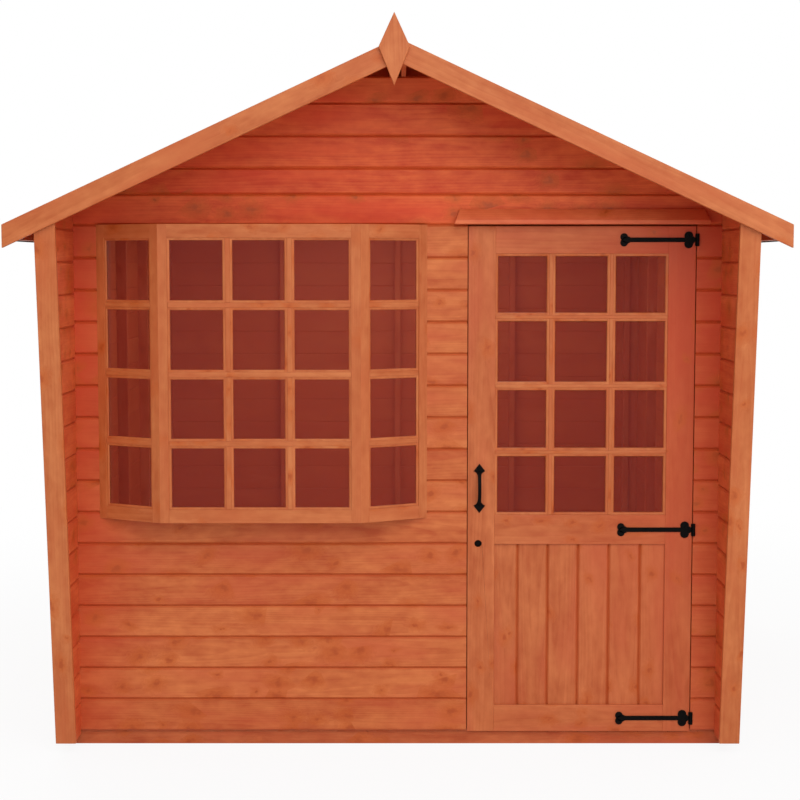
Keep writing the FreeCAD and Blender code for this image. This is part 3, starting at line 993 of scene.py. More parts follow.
@dataclass
class BoardStock:
    """Tongued and grooved board with a V at each joint."""

    yard: Timberyard
    thick: float = 0.012
    gap: float = 0.0004
    chamfer: float = 0.0066
    back_chamfer: float = 0.0022
    tongue_in: float = 0.0009
    tongue_high: float = 0.0062
    groove_in: float = 0.0007
    groove_deep: float = 0.0066
    masters: dict[tuple[float, float], Piece] = field(default_factory=dict)

    def board(self, length: float, cover: float) -> Piece:
        """A board that runs along X, its face on Y = 0 and its lower joint on Z = 0.

        Args:
            length: Its length.
            cover: Distance from joint to joint.

        Returns:
            A copy of the master board of that size.
        """
        key = (round(length, 4), round(cover, 4))
        if key not in self.masters:
            self.masters[key] = self._model(length, cover)
        return Bench.copy(self.masters[key], "board")

    def _model(self, length: float, cover: float) -> Piece:
        """Shape one master board.

        Args:
            length: Its length.
            cover: Distance from joint to joint.

        Returns:
            The board.
        """
        piece = Bench.block("master", (0, 0, self.gap / 2), (length, self.thick, cover - self.gap / 2))
        Bench.bevel(piece, self._long_arris(0.0), self.chamfer)
        Bench.bevel(piece, self._long_arris(self.thick), self.back_chamfer)
        for way, inset, move in ((1, self.tongue_in, self.tongue_high),
                                 (-1, self.groove_in, self.groove_deep)):
            Bench.pick(piece, Pick.FACES, lambda face, way=way: face.normal.z * way > SQUARE_ON)
            bpy.ops.mesh.inset(thickness=inset)
            Bench.extrude((0, 0, move))
        Bench.clear()
        return piece

    @staticmethod
    def _long_arris(depth: float) -> Callable[[Any], bool]:
        """Picks the long edges at this depth from the face."""
        return lambda edge: (all(abs(v.co.y - depth) < TINY for v in edge.verts)
                             and abs(edge.verts[0].co.z - edge.verts[1].co.z) < TINY)

    def lay(self, span: tuple[float, float], heights: Sequence[float], place: Matrix,
            planes: Sequence[Plane] = ()) -> list[Piece]:
        """Lay boards one above the other.

        Args:
            span: Start and end along the boards.
            heights: Heights of the joints, from the lowest edge to the highest.
            place: Turns along, deep and up into the summerhouse's frame.
            planes: What is sawn off, in the summerhouse's frame.

        Returns:
            The boards.
        """
        laid = []
        for low, high in zip(heights, heights[1:]):
            piece = self.board(span[1] - span[0], high - low)
            piece.data.transform(Matrix.Translation((span[0], 0, low)))
            if high == heights[-1]:
                Bench.cut(piece, Z * high, Z)
            piece.data.transform(place)
            if all(Bench.cut(piece, point, normal) for point, normal in planes):
                self.mark(piece, place)
                laid.append(piece)
        return laid

    def mark(self, piece: Piece, place: Matrix) -> None:
        """Give a board its plank and its joints.

        Args:
            piece: The board, in its place.
            place: What put it there.
        """
        back = place.inverted()
        axes = Matrix((place.col[0].xyz, place.col[2].xyz, place.col[1].xyz))
        self.yard.cut_from_plank(piece, axes, lambda co: 1.0 if (back @ co).y > self.chamfer / 2 else 0.0)

    def clear_away(self) -> None:
        """Remove the master boards."""
        for piece in self.masters.values():
            bpy.data.objects.remove(piece)
        self.masters.clear()


def courses(first: float, pitch: float, low: float, high: float, least: float = 0.030) -> list[float]:
    """Heights of the joints of a boarded wall.

    Args:
        first: Height of any one joint.
        pitch: Distance between joints.
        low: Lowest edge.
        high: Highest edge.
        least: The narrowest board; a narrower one is left with its neighbour.

    Returns:
        Heights from low to high.
    """
    start = math.ceil((low + least - first) / pitch)
    inside = []
    while first + start * pitch < high - least:
        inside.append(first + start * pitch)
        start += 1
    return [low, *inside, high]


def facing(face: Vector, along: Vector, up: Vector, origin: Vector) -> Matrix:
    """The matrix that stands boards on a wall.

    Args:
        face: The way the boards' face looks.
        along: The way they run.
        up: From joint to joint.
        origin: A point on the face, where the heights are counted from.

    Returns:
        Along, deep and up as a placing matrix.
    """
    turned = Matrix((along, -face, up)).transposed().to_4x4()
    return Matrix.Translation(origin) @ turned


def roof_plane(slope: Piece) -> Plane:
    """The underside of the right roof slope.

    Args:
        slope: The slope's CAD node.

    Returns:
        A point on the underside at the ridge, and the way out of it.
    """
    points = [v.co for v in slope.data.vertices]
    middle = min(p.x for p in points)
    edge = max(p.x for p in points)
    ridge = min(p.z for p in points if p.x < middle + TINY)
    eave = min(p.z for p in points if p.x > edge - TINY)
    run = Vector((edge - middle, 0, eave - ridge)).normalized()
    return Z * ridge, Vector((-run.z, 0, run.x))


@dataclass
class Walls:
    """The boarded walls, wing linings and gables."""

    shop: Workshop
    stock: BoardStock
    pitch: float = 0.11407
    front_joint: float = 0.1705
    side_joint: float = 0.1545
    gable_joints: tuple[float, ...] = (2.0840, 2.1980, 2.3120)
    roof_fit: float = 0.0004
    door_lip: float = 0.006
    lock_lip: float = 0.002
    saw: float = 0.1

    def __post_init__(self) -> None:
        """Read the roof's slope from the frame."""
        self.slope_point, self.slope_normal = roof_plane(self.shop.nodes["roof_right"])

    def build(self) -> None:
        """Make every wall."""
        self.front()
        self.gable()
        self.rear()
        for hand in HANDS:
            self.side(hand)
            self.lining(hand)

    def _roof_planes(self) -> list[Plane]:
        """The two slopes that trim a wall's head.

        Returns:
            A plane for the right slope and one for the left.
        """
        mirrored = Vector((-self.slope_normal.x, 0, self.slope_normal.z))
        point = self.slope_point - Z * self.roof_fit
        return [(point, self.slope_normal), (point, mirrored)]

    def _finish(self, boards: list[Piece], name: str, nodes: Sequence[str], finish: Any = None) -> None:
        """Join the boards of a wall and give them a finish, if not the cladding's."""
        chosen = finish or self.shop.finishes.cladding
        self.shop.deliver(boards, name, Body.HOUSE, Slot.CLADDING, chosen, nodes)

    def front(self) -> None:
        """Boards under, beside and over the bay window and the door."""
        low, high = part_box("front_wall_under_bay")
        _, strips_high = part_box("front_wall_strips")
        over_low, over_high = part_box("front_wall_over_openings")
        bay_low, bay_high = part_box("bay_base")
        door_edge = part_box("door_stops")[1].x - self.door_lip
        lock_edge = high.x + self.lock_lip
        place = facing(-Y, X, Z, Y * low.y)
        heights = courses(self.front_joint, self.pitch, low.z, strips_high.z)
        split = next(i for i, z in enumerate(heights) if z > high.z)
        boards = self.stock.lay((low.x, lock_edge), heights[:split + 1], place)
        notch = Bench.block("notch", (bay_low.x, low.y - self.saw, bay_low.z),
                            (bay_high.x, low.y + self.saw, high.z + self.saw))
        Bench.combine(boards[-1], notch, "DIFFERENCE")
        self.stock.mark(boards[-1], place)
        boards += self.stock.lay((low.x, bay_low.x), heights[split:], place)
        boards += self.stock.lay((bay_high.x, lock_edge), heights[split:], place)
        boards += self.stock.lay((door_edge, strips_high.x), heights, place)
        self._finish(boards, "front_boards", ["front_wall_under_bay", "front_wall_strips"],
                     self.shop.finishes.front)
        # The boards over the openings take the gable's painted shade.
        over = self.stock.lay((over_low.x, over_high.x), [over_low.z, over_high.z], place,
                              self._roof_planes())
        self._finish(over, "front_boards_over", ["front_wall_over_openings"], self.shop.finishes.gable)

    def gable(self) -> None:
        """Boards of the front gable, over the cut joint."""
        low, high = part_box("front_gable")
        heights = [low.z, *self.gable_joints, high.z]
        boards = self.stock.lay((low.x, high.x), heights, facing(-Y, X, Z, Y * low.y), self._roof_planes())
        self._finish(boards, "gable_boards", ["front_gable"], self.shop.finishes.gable)

    def rear(self) -> None:
        """Boards of the rear wall."""
        low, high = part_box("rear_wall")
        heights = courses(self.side_joint, self.pitch, low.z, high.z)
        boards = self.stock.lay((low.x, high.x), heights, facing(Y, -X, Z, Y * high.y), self._roof_planes())
        self._finish(boards, "rear_boards", ["rear_wall"])

    def _wing_plane(self, side: int) -> Plane:
        """The leaning edge that trims a wing, just behind its trim.

        Args:
            side: 1 on the right, -1 on the left.

        Returns:
            The plane of that edge.
        """
        mesh = self.shop.nodes["wing_linings"].data
        points = [v.co for v in mesh.vertices if v.co.x * side > 0]
        foot = min(points, key=lambda p: (round(p.z, 4), p.y))
        head = min(points, key=lambda p: p.y)
        edge = (head - foot).normalized()
        return Vector((0, foot.y, foot.z)), Vector((0, -edge.z, edge.y)).normalized()

    def _run_back(self, side: int, way: int, face_x: float, box: Sequence[Vector]) -> list[Piece]:
        """Boards that run from front to back, up to the wing's leaning edge.

        Args:
            side: 1 on the right, -1 on the left.
            way: 1 where their face looks along X, otherwise -1.
            face_x: Where their face is.
            box: Lowest and highest corner of the node that they replace.

        Returns:
            The boards.
        """
        low, high = box
        span = (low.y, high.y) if way > 0 else (-high.y, -low.y)
        heights = courses(self.side_joint, self.pitch, low.z, high.z)
        planes = [*self._roof_planes(), self._wing_plane(side)]
        return self.stock.lay(span, heights, facing(X * way, Y * way, Z, X * face_x), planes)

    def side(self, hand: Hand) -> None:
        """Boards of one side wall, wing included.

        Args:
            hand: The side.
        """
        side, name = hand
        low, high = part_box(name + "_wall")
        boards = self._run_back(side, side, high.x if side > 0 else low.x, (low, high))
        self._finish(boards, name + "_boards", [name + "_wall"])

    def lining(self, hand: Hand) -> None:
        """Boards on the inner face of one wing.

        Args:
            hand: The wing's side.
        """
        side, name = hand
        low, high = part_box("wing_linings")
        boards = self._run_back(side, -side, (high.x - self.stock.thick) * side, (low, high))
        nodes = ["wing_linings"] if side > 0 else []
        self._finish(boards, name + "_wing_lining", nodes, self.shop.finishes.lining)


@dataclass
class Floor:
    """The deck boards."""

    shop: Workshop
    stock: BoardStock
    pitch: float = 0.1095

    def build(self) -> None:
        """Lay the deck, boards running from front to back."""
        low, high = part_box("floor_deck")
        heights = courses(0.0, self.pitch, -high.x, -low.x)
        boards = self.stock.lay((low.y, high.y), heights, facing(Z, Y, -X, Z * high.z))
        self.shop.deliver(boards, "deck_boards", Body.HOUSE, Slot.FLOOR, self.shop.finishes.floor,
                          ["floor_deck"])


@dataclass
class NailBox:
    """Nail heads: one is modelled, the rest are copies."""

    shop: Workshop
    finish: Any
    slot: Slot
    radius: float
    proud: float
    sides: int = 8
    dome: float = 0.45
    crown: float = 0.3
    heads: list[Piece] = field(default_factory=list)
    master: Piece | None = None

    def _model(self) -> Piece:
        """One head, its face towards +Z, its seat on Z = 0.

        Returns:
            The head.
        """
        Bench.clear()
        bpy.ops.mesh.primitive_cylinder_add(
            vertices=self.sides, radius=self.radius, depth=2 * self.proud, location=(0, 0, 0))
        piece = bpy.context.object
        Bench.pick(piece, Pick.FACES, lambda face: face.normal.z > SQUARE_ON)
        bpy.ops.mesh.inset(thickness=self.radius * self.dome)
        bpy.ops.transform.translate(value=(0, 0, self.proud * self.crown))
        Bench.clear()
        return piece

    def drive(self, at: Vector, out: Vector) -> None:
        """Put one head on a surface.

        Args:
            at: The point on the surface.
            out: The way the surface looks.
        """
        if self.master is None:
            self.master = self._model()
        head = Bench.copy(self.master, "head")
        turn = Z.rotation_difference(out).to_matrix().to_4x4()
        head.data.transform(Matrix.Translation(at) @ turn)
        self.heads.append(head)

    def deliver(self, name: str, body: Body) -> None:
        """Join the heads that were driven and hang them on a body."""
        self.shop.deliver(self.heads, name, body, self.slot, self.finish)
        bpy.data.objects.remove(self.master)


class Slope(NamedTuple):
    """One slope of the roof: its side and name, a ridge point, the way it looks and the way down."""

    side: int
    name: str
    ridge: Vector
    out: Vector
    down: Vector


@dataclass
class Roof:
    """Roof boards, felt in lapped strips, its ridge cap and its nails."""

    shop: Workshop
    stock: BoardStock
    pitch: float = 0.114
    spare: float = 0.02
    felt_thick: float = 0.0021
    felt_arris: float = 0.0006
    eaves_short: float = 0.0005
    lap_from: float = 0.640
    lap_to: float = 0.720
    lap_rise: float = 0.030
    cap_wide: float = 0.165
    drop: float = 0.042
    hem_over: float = 0.0006
    hem_bend: float = 0.8
    hem_facets: int = 3
    nail_radius: float = 0.0055
    nail_proud: float = 0.0012
    nail_step: float = 0.150
    nail_in: float = 0.022

    def build(self) -> None:
        """Make both slopes."""
        point, normal = roof_plane(self.shop.nodes["roof_right"])
        nails = NailBox(self.shop, self.shop.finishes.clout, Slot.FELT, self.nail_radius, self.nail_proud)
        for side, name in HANDS:
            out, down = Vector((normal.x * side, 0, normal.z)), Vector((normal.z * side, 0, -normal.x))
            self.boards(Slope(side, name, point, out, down))
            top = point + Z * (self.stock.thick / normal.z)
            self.felt(Slope(side, name, top, out, down), nails)
        nails.deliver("felt_nails", Body.HOUSE)

    def boards(self, slope: Slope) -> None:
        """Boards of one slope, with their V joints underneath.

        Args:
            slope: The slope, its ridge point on its underside.
        """
        side, name, ridge, out, down = slope
        low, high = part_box("roof_" + name)
        edge = max(abs(low.x), abs(high.x))
        heights = courses(0.0, self.pitch, -self.spare, edge / abs(down.x) + self.spare)
        planes = [(X * (edge * side), X * side), (ORIGIN, X * -side)]
        boards = self.stock.lay((low.y, high.y), heights, facing(-out, Y * -side, down, ridge), planes)
        self.shop.deliver(boards, "roof_boards_" + name, Body.HOUSE, Slot.ROOF, self.shop.finishes.roof,
                          ["roof_" + name])

    def felt(self, slope: Slope, nails: NailBox) -> None:
        """Felt of one slope: a lower strip, an upper one over it, and half of the cap.

        Args:
            slope: The slope, its ridge point on top of the boards.
            nails: The felt nails.
        """
        side, name, ridge, out, down = slope
        low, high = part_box("felt_" + name)
        edge = max(abs(low.x), abs(high.x))
        reach = edge / abs(down.x)
        place = Matrix.Translation(ridge) @ Matrix((down, out.cross(down), out)).transposed().to_4x4()
        thick, lap = self.felt_thick, self.lap_from
        lower = [(lap, 0.0), (reach - self.eaves_short, 0.0)]
        upper = [(-self.spare, 0.0), (lap - self.lap_rise, 0.0), (lap, thick), (self.lap_to, thick)]
        cap = [(-self.spare, thick), (self.cap_wide, thick)]
        strips = [self._strip(run, low.y, high.y, place) for run in (lower, upper, cap)]
        for strip in strips:
            Bench.cut(strip, ORIGIN, X * -side)
            Bench.cut(strip, X * (edge * side), X * side)
        corner = place @ Vector((reach, 0, 0))
        near, far = sorted((corner.x, corner.x - side * (thick + self.hem_over)))
        hem = Bench.block("hem", (near, low.y, corner.z - self.drop), (far, high.y, corner.z + thick))
        Bench.bevel(
            hem, lambda e: all(abs(v.co.x - corner.x) < TINY and v.co.z > corner.z for v in e.verts),
            thick * self.hem_bend, self.hem_facets)
        whole = Bench.join([*strips, hem], "felt_strips_" + name)
        Bench.soften(whole, self.felt_arris, 1)
        self.shop.deliver([whole], whole.name, Body.HOUSE, Slot.FELT, self.shop.finishes.felt,
                          ["felt_" + name])
        count = int((high.y - low.y) / self.nail_step) + 1
        for i in range(count):
            y = (i + MIDDLE - count / 2) * self.nail_step
            nails.drive(place @ Vector((self.lap_to - self.nail_in, y, 2 * thick)), out)
            nails.drive(place @ Vector((self.cap_wide - self.nail_in, y, 2 * thick)), out)
            nails.drive(Vector((corner.x, y, corner.z - self.drop / 2)), X * side)

    def _strip(self, run: Sequence[tuple[float, float]], low: float, high: float, place: Matrix) -> Piece:
        """One strip of felt that follows a run of points down the slope.

        Args:
            run: Distances from the ridge and heights over the boards.
            low: Front edge.
            high: Rear edge.
            place: Puts the slope's frame into the summerhouse.

        Returns:
            The strip.
        """
        (d0, h0), (d1, h1) = run[:2]
        strip = Bench.block("strip", (d0, low, h0), (d1, high, h1 + self.felt_thick))
        for (d0, h0), (d1, h1) in zip(run[1:], run[2:]):
            Bench.pick(strip, Pick.FACES, lambda face, x=d0: face.normal.x > SQUARE_ON
                       and abs(face.calc_center_median().x - x) < TINY)
            Bench.extrude((d1 - d0, 0, h1 - h0))
        Bench.clear()
        strip.data.transform(place)
        return strip


@dataclass
class Pins:
    """Pins that hold the boards to the studs of the side and rear walls."""

    shop: Workshop
    walls: Walls
    radius: float = 0.0024
    proud: float = 0.0005
    sides: int = 7
    up_from_joint: float = 0.026
    edge: float = 0.030
    stud_least: float = 0.020
    stud_most: float = 0.060
    foremost: float = -1.060

    def build(self) -> None:
        """Pin the three outside walls that aren't the front."""
        box = NailBox(self.shop, self.shop.finishes.pin, Slot.IRON, self.radius, self.proud, self.sides)
        walls = self.walls
        fall = walls.slope_normal.x / walls.slope_normal.z
        for node, axis, out in (("left_wall", 1, -X), ("right_wall", 1, X), ("rear_wall", 0, Y)):
            low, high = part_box(node)
            face = high.x if out.x > 0 else low.x if out.x < 0 else high.y
            start = self.foremost if axis else low.x
            for along in self._stud_lines(node + "_studs", axis):
                for z in courses(walls.side_joint, walls.pitch, low.z, high.z)[:-1]:
                    height = z + self.up_from_joint
                    at = Vector((face, along, height)) if axis else Vector((along, face, height))
                    under_roof = walls.slope_point.z - abs(at.x) * fall - self.edge
                    if height < under_roof and start < along < high[axis] - self.edge / 2:
                        box.drive(at, out)
        box.deliver("board_pins", Body.HOUSE)

    def _stud_lines(self, node: str, axis: int) -> list[float]:
        """Middles of a wall's studs along X, axis 0, or along Y, axis 1."""
        marks = sorted({round(v.co[axis], 4) for v in self.shop.nodes[node].data.vertices})
        return [(a + b) / 2 for a, b in zip(marks, marks[1:]) if self.stud_least < b - a < self.stud_most]


@dataclass
class Glazing:
    """Beads and bars of one light, in its own frame, then set in place.

    The light's frame has X along it, Y inward from its face and Z up.
    """

    shop: Workshop
    name: str
    left: float
    right: float
    low: float
    high: float
    uprights: Sequence[float]
    levels: Sequence[float]
    glass_front: float
    glass_back: float
    back: float
    bar: float
    bead: float = 0.0095
    bar_set: float = 0.0015
    bar_arris: float = 0.0022
    bar_facets: int = 2
    bead_set: float = 0.0040
    bead_round: float = 0.55
    bead_facets: int = 3
    clear: float = 0.0003

    def build(self, place: Matrix, body: Body) -> None:
        """Make the light's bars and beads.

        Args:
            place: Puts the light's frame into the summerhouse.
            body: What the light moves with.
        """
        made = []
        sides = [(self.bar_set, self.bead_set, self.glass_front - self.clear),
                 (self.back - self.bar_set, self.back - self.bead_set, self.glass_back + self.clear)]
        for bar_face, bead_face, glass in sides:
            made += self._bars(bar_face, glass)
            made += self._beads(bead_face, glass)
        for piece in made:
            piece.data.transform(place)
        self.shop.deliver(made, self.name, body, Slot.TRIM, self.shop.finishes.trim)

    def _bars(self, face: float, glass: float) -> list[Piece]:
        """Bars on one side of the glass, the level ones in one length.

        Args:
            face: Where their face is.
            glass: Where they meet the glass.

        Returns:
            The bars.
        """
        y0, y1 = min(face, glass), max(face, glass)
        half = self.bar / 2
        bars = [Bench.block("bar", (self.left, y0, z - half), (self.right, y1, z + half))
                for z in self.levels]
        edges = self._edges(self.low, self.levels, self.high)
        for x in self.uprights:
            for low, high in zip(edges[::2], edges[1::2]):
                bars.append(Bench.block("bar", (x - half, y0, low), (x + half, y1, high)))
        for bar in bars:
            Bench.bevel(bar, lambda e: all(abs(v.co.y - face) < TINY for v in e.verts),
                        self.bar_arris, self.bar_facets)
            self.shop.yard.follow_length(bar)
        return bars

    def _edges(self, low: float, bars: Sequence[float], high: float) -> list[float]:
        """Both edges of each pane in turn, along one way of the light."""
        return [low, *[bar + way * self.bar / 2 for bar in bars for way in (-1, 1)], high]

    def _beads(self, face: float, glass: float) -> list[Piece]:
        """A mitred ring of bead round each pane on one side of the glass.

        Args:
            face: Where their face is.
            glass: Where they meet the glass.

        Returns:
            The rings.
        """
        xs = self._edges(self.left, self.uprights, self.right)
        zs = self._edges(self.low, self.levels, self.high)
        rings = []
        for x0, x1 in zip(xs[::2], xs[1::2]):
            for z0, z1 in zip(zs[::2], zs[1::2]):
                ring = self._ring((x0, min(face, glass), z0), (x1, max(face, glass), z1))
                Bench.bevel(ring, lambda e, r=(x0, x1, z0, z1): self._is_lip(e, face, r),
                            self.bead * self.bead_round, self.bead_facets)
                self.shop.yard.follow_length(ring)
                rings.append(ring)
        return rings

    def _ring(self, low: Sequence[float], high: Sequence[float]) -> Piece:
        """A rectangular ring with mitred corners.

        Args:
            low: Lowest corner.
            high: Highest corner.

        Returns:
            The ring.
        """
        ring = Bench.block("bead", low, high)
        Bench.pick(ring, Pick.FACES, lambda face: abs(face.normal.y) > SQUARE_ON)
        bpy.ops.mesh.inset(thickness=self.bead)
        bpy.ops.mesh.bridge_edge_loops()
        Bench.clear()
        return ring

    @staticmethod
    def _is_lip(edge: Any, face: float, ring: Sequence[float]) -> bool:
        """Whether an edge is the ring's inner one on the shown face."""
        x0, x1, z0, z1 = ring
        return all(abs(v.co.y - face) < TINY and x0 + TINY < v.co.x < x1 - TINY
                   and z0 + TINY < v.co.z < z1 - TINY for v in edge.verts)


@dataclass
class Bay:
    """The bay window: frames, beads, bars and boards."""

    shop: Workshop
    stile: float = 0.033
    bottom_rail: float = 0.047
    top_rail: float = 0.048
    thick: float = 0.040
    spare: float = 0.06
    glass_front: float = 0.007
    glass_back: float = 0.011
    beads_end: float = 0.019
    bar: float = 0.0175
    bead: float = 0.0085
    arris: float = 0.0006
    board_arris: float = 0.002
    level_apart: float = 0.243
    uprights: tuple[float, ...] = (0.2435, 0.4595)
    lights: tuple[str, ...] = ("left", "middle", "right")

    def build(self) -> None:
        """Make the three lights and the boards that they stand between."""
        self._frames()
        finishes = self.shop.finishes
        for node in ("bay_base", "bay_head"):
            self.shop.planed(node, Body.HOUSE, Slot.TRIM, finishes.trim, self.board_arris, X)
        finishes.put(self.shop.nodes["bay_glass"], finishes.glass)

    def _frames(self) -> None:
        """Members, bars and beads of each light."""
        low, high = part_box("bay_front_frame")
        wide_low, wide_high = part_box("bay_side_frames")
        corners = [Vector((wide_low.x, wide_high.y, 0)), Vector((low.x, low.y, 0)),
                   Vector((high.x, low.y, 0)), Vector((wide_high.x, wide_high.y, 0))]
        ways = [(far - near).normalized() for near, far in zip(corners, corners[1:])]
        inward = [Vector((-way.y, way.x, 0)) for way in ways]
        planes = self._end_planes(corners, inward)
        side_frames = []
        for i, light in enumerate(self.lights):
            place = facing(-inward[i], ways[i], Z, corners[i])
            length = (corners[i + 1] - corners[i]).length
            frame = self._frame(place, length, low.z, high.z, planes[i:i + 2])
            if light == "middle":
                self._deliver(frame, "bay_front_members", "bay_front_frame")
            else:
                side_frames += frame
            self._light(light, place, length, low.z, high.z)
        self._deliver(side_frames, "bay_side_members", "bay_side_frames")

    def _deliver(self, members: Sequence[Piece], name: str, node: str) -> None:
        """Hand over the members that replace a node."""
        self.shop.deliver(members, name, Body.HOUSE, Slot.TRIM, self.shop.finishes.trim, [node])

    @staticmethod
    def _end_planes(corners: Sequence[Vector], inward: Sequence[Vector]) -> list[Plane]:
        """The wall's face and the two mitres, each looking to the next light.

        Args:
            corners: The plan's four corners, from left to right.
            inward: The way into the house from each light.

        Returns:
            The planes, from left to right.
        """
        planes = [(corners[0], Y)]
        for i in (1, 2):
            mitre = (inward[i - 1] + inward[i]).normalized()
            planes.append((corners[i], Vector((mitre.y, -mitre.x, 0))))
        return [*planes, (corners[3], Y)]

    def _frame(self, place: Matrix, length: float, low: float, high: float,
               planes: Sequence[Plane]) -> list[Piece]:
        """The two stiles and two rails of one light.

        Args:
            place: Puts the light's frame into the summerhouse.
            length: Outer length of the light.
            low: Underside of the bottom rail.
            high: Top of the top rail.
            planes: Where its two ends are cut.

        Returns:
            The members.
        """
        start, end = self.stile, length - self.stile
        blocks = [((-self.spare, 0, low), (start, self.thick, high)),
                  ((end, 0, low), (length + self.spare, self.thick, high)),
                  ((start, 0, low), (end, self.thick, low + self.bottom_rail)),
                  ((start, 0, high - self.top_rail), (end, self.thick, high))]
        members = []
        middle = place @ Vector(((start + end) / 2, self.thick / 2, 0))
        for corner, far in blocks:
            member = Bench.block("member", corner, far)
            member.data.transform(place)
            for point, normal in planes:
                Bench.cut(member, point, normal if (middle - point).dot(normal) < 0 else -normal)
            Bench.soften(member, self.arris)
            self.shop.yard.follow_length(member)
            members.append(member)
        return members

    def _light(self, light: str, place: Matrix, length: float, low: float, high: float) -> None:
        """Bars and beads of one light.

        Args:
            light: left, middle or right.
            place: Puts the light's frame into the summerhouse.
            length: Outer length of the light.
            low: Underside of the bottom rail.
            high: Top of the top rail.
        """
        base, top = low + self.bottom_rail, high - self.top_rail
        levels = [(base + top) / 2 + i * self.level_apart for i in (-1, 0, 1)]
        Glazing(self.shop, "bay_bars_" + light, self.stile, length - self.stile, base, top,
                self.uprights if light == "middle" else (), levels, self.glass_front, self.glass_back,
                self.beads_end, self.bar, self.bead).build(place, Body.HOUSE)


@dataclass
class Door:
    """The door leaf with its panel boards, glazing and ironmongery."""

    shop: Workshop
    stock: BoardStock
    arris: float = 0.0012
    panel_joints: tuple[float, ...] = (0.433, 0.542, 0.652, 0.763, 0.876)
    uprights: tuple[float, ...] = (0.5475, 0.763)
    levels: tuple[float, ...] = (1.072, 1.310, 1.557)
    groove: float = 0.008
    bar: float = 0.0125
    strap_heights: tuple[float, ...] = (0.100, 0.7915, 1.831)
    strap_lobes: tuple[tuple[float, float, float], ...] = (
        (0.0315, 0.0145, 0.0155), (0.0315, -0.0145, 0.0155), (0.0215, 0.0, 0.0140),
        (0.2610, 0.0100, 0.0135), (0.2610, -0.0100, 0.0135), (0.2480, 0.0, 0.0120))
    lobe_sides: int = 28
    strap_tip: float = 0.263
    strap_neck: float = 0.0085
    strap_end: float = 0.0190
    strap_wide: float = 0.016
    strap_thick: float = 0.004
    strap_arris: float = 0.0009
    screw_radius: float = 0.0042
    screw_proud: float = 0.0012
    screw_sides: int = 12
    lock_at: tuple[float, float] = (0.290, 0.7405)
    lock_radius: float = 0.0126
    lock_proud: float = 0.0015
    lock_sides: int = 24
    lock_deep: float = 0.010
    handle_plate: float = 0.003
    handle_screw: float = 0.012

    def build(self) -> None:
        """Make the leaf."""
        finishes = self.shop.finishes
        for node in ("door_lock_stile", "door_hinge_stile", "door_rails"):
            self.shop.planed(node, Body.DOOR, Slot.TRIM, finishes.door, self.arris)
        self._panel()
        self._glazing()
        finishes.put(self.shop.nodes["door_glass"], finishes.glass)
        finishes.put(self.shop.nodes["door_handle"], finishes.iron)
        self._straps()
        self._screws()

    @staticmethod
    def _pin_x() -> float:
        """Middle of the hinge pins."""
        low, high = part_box("hinge_leaves")
        return (low.x + high.x) / 2

    def _straps(self) -> None:
        """Straps with three lobes at the root and three at the tip, on the CAD's own knuckles."""
        pin_x, face = self._pin_x(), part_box("door_rails")[0].y
        half = self.strap_wide / 2
        knuckles = Bench.copy(self.shop.nodes["hinge_straps"], "knuckles")
        Bench.pick_all(knuckles)
        bpy.ops.mesh.remove_doubles(threshold=TINY)
        Bench.clear()
        Bench.cut(knuckles, X * (pin_x - self.strap_neck), -X)
        straps = [knuckles]
        for z in self.strap_heights:
            strap = Bench.block("strap", (pin_x - self.strap_tip, face - self.strap_thick, z - half),
                                (pin_x - self.strap_end, face, z + half))
            for back, up, radius in self.strap_lobes:
                Bench.clear()
                bpy.ops.mesh.primitive_cylinder_add(
                    vertices=self.lobe_sides, radius=radius, depth=self.strap_thick,
                    rotation=(math.pi / 2, 0, 0),
                    location=(pin_x - back, face - self.strap_thick / 2, z + up))
                bpy.ops.object.transform_apply(location=True, rotation=True, scale=True)
                Bench.combine(strap, bpy.context.object, "UNION")
            Bench.soften(strap, self.strap_arris)
            straps.append(strap)
        self.shop.deliver(straps, "door_straps", Body.DOOR, Slot.IRON, self.shop.finishes.iron,
                          ["hinge_straps"])

    def _screws(self) -> None:
        """Round-headed screws in the straps and the handle's plates, and the lock behind its hole."""
        iron, pin_x = self.shop.finishes.iron, self._pin_x()
        handle_low, handle_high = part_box("door_handle")
        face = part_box("door_rails")[0].y
        box = NailBox(self.shop, iron, Slot.IRON, self.screw_radius, self.screw_proud, self.screw_sides)
        for z in self.strap_heights:
            for back, up, _ in (*self.strap_lobes[:2], self.strap_lobes[-1]):
                box.drive(Vector((pin_x - back, face - self.strap_thick, z + up)), -Y)
        middle = (handle_low.x + handle_high.x) / 2
        for z in (handle_low.z + self.handle_screw, handle_high.z - self.handle_screw):
            box.drive(Vector((middle, face - self.handle_plate, z)), -Y)
        box.deliver("door_screws", Body.DOOR)
        lock = NailBox(self.shop, iron, Slot.IRON, self.lock_radius, self.lock_proud, self.lock_sides)
        lock.drive(Vector((self.lock_at[0], face + self.lock_deep, self.lock_at[1])), -Y)
        lock.deliver("door_lock_front", Body.DOOR)

    def _panel(self) -> None:
        """Upright boards of the lower panel."""
        low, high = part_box("door_panel")
        joints = [low.x, *self.panel_joints, high.x]
        boards = self.stock.lay((-high.z, -low.z), joints, facing(-Y, -Z, X, Y * low.y))
        self.shop.deliver(boards, "door_panel_boards", Body.DOOR, Slot.TRIM, self.shop.finishes.door,
                          ["door_panel"])

    def _glazing(self) -> None:
        """Bars and beads of the upper half."""
        low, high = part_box("door_glass")
        rails_low, rails_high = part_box("door_rails")
        face, groove = rails_low.y, self.groove
        Glazing(self.shop, "door_bars", low.x + groove, high.x - groove, low.z + groove, high.z - groove,
                self.uprights, self.levels, low.y - face, high.y - face, rails_high.y - face,
                self.bar).build(Matrix.Translation((0, face, 0)), Body.DOOR)


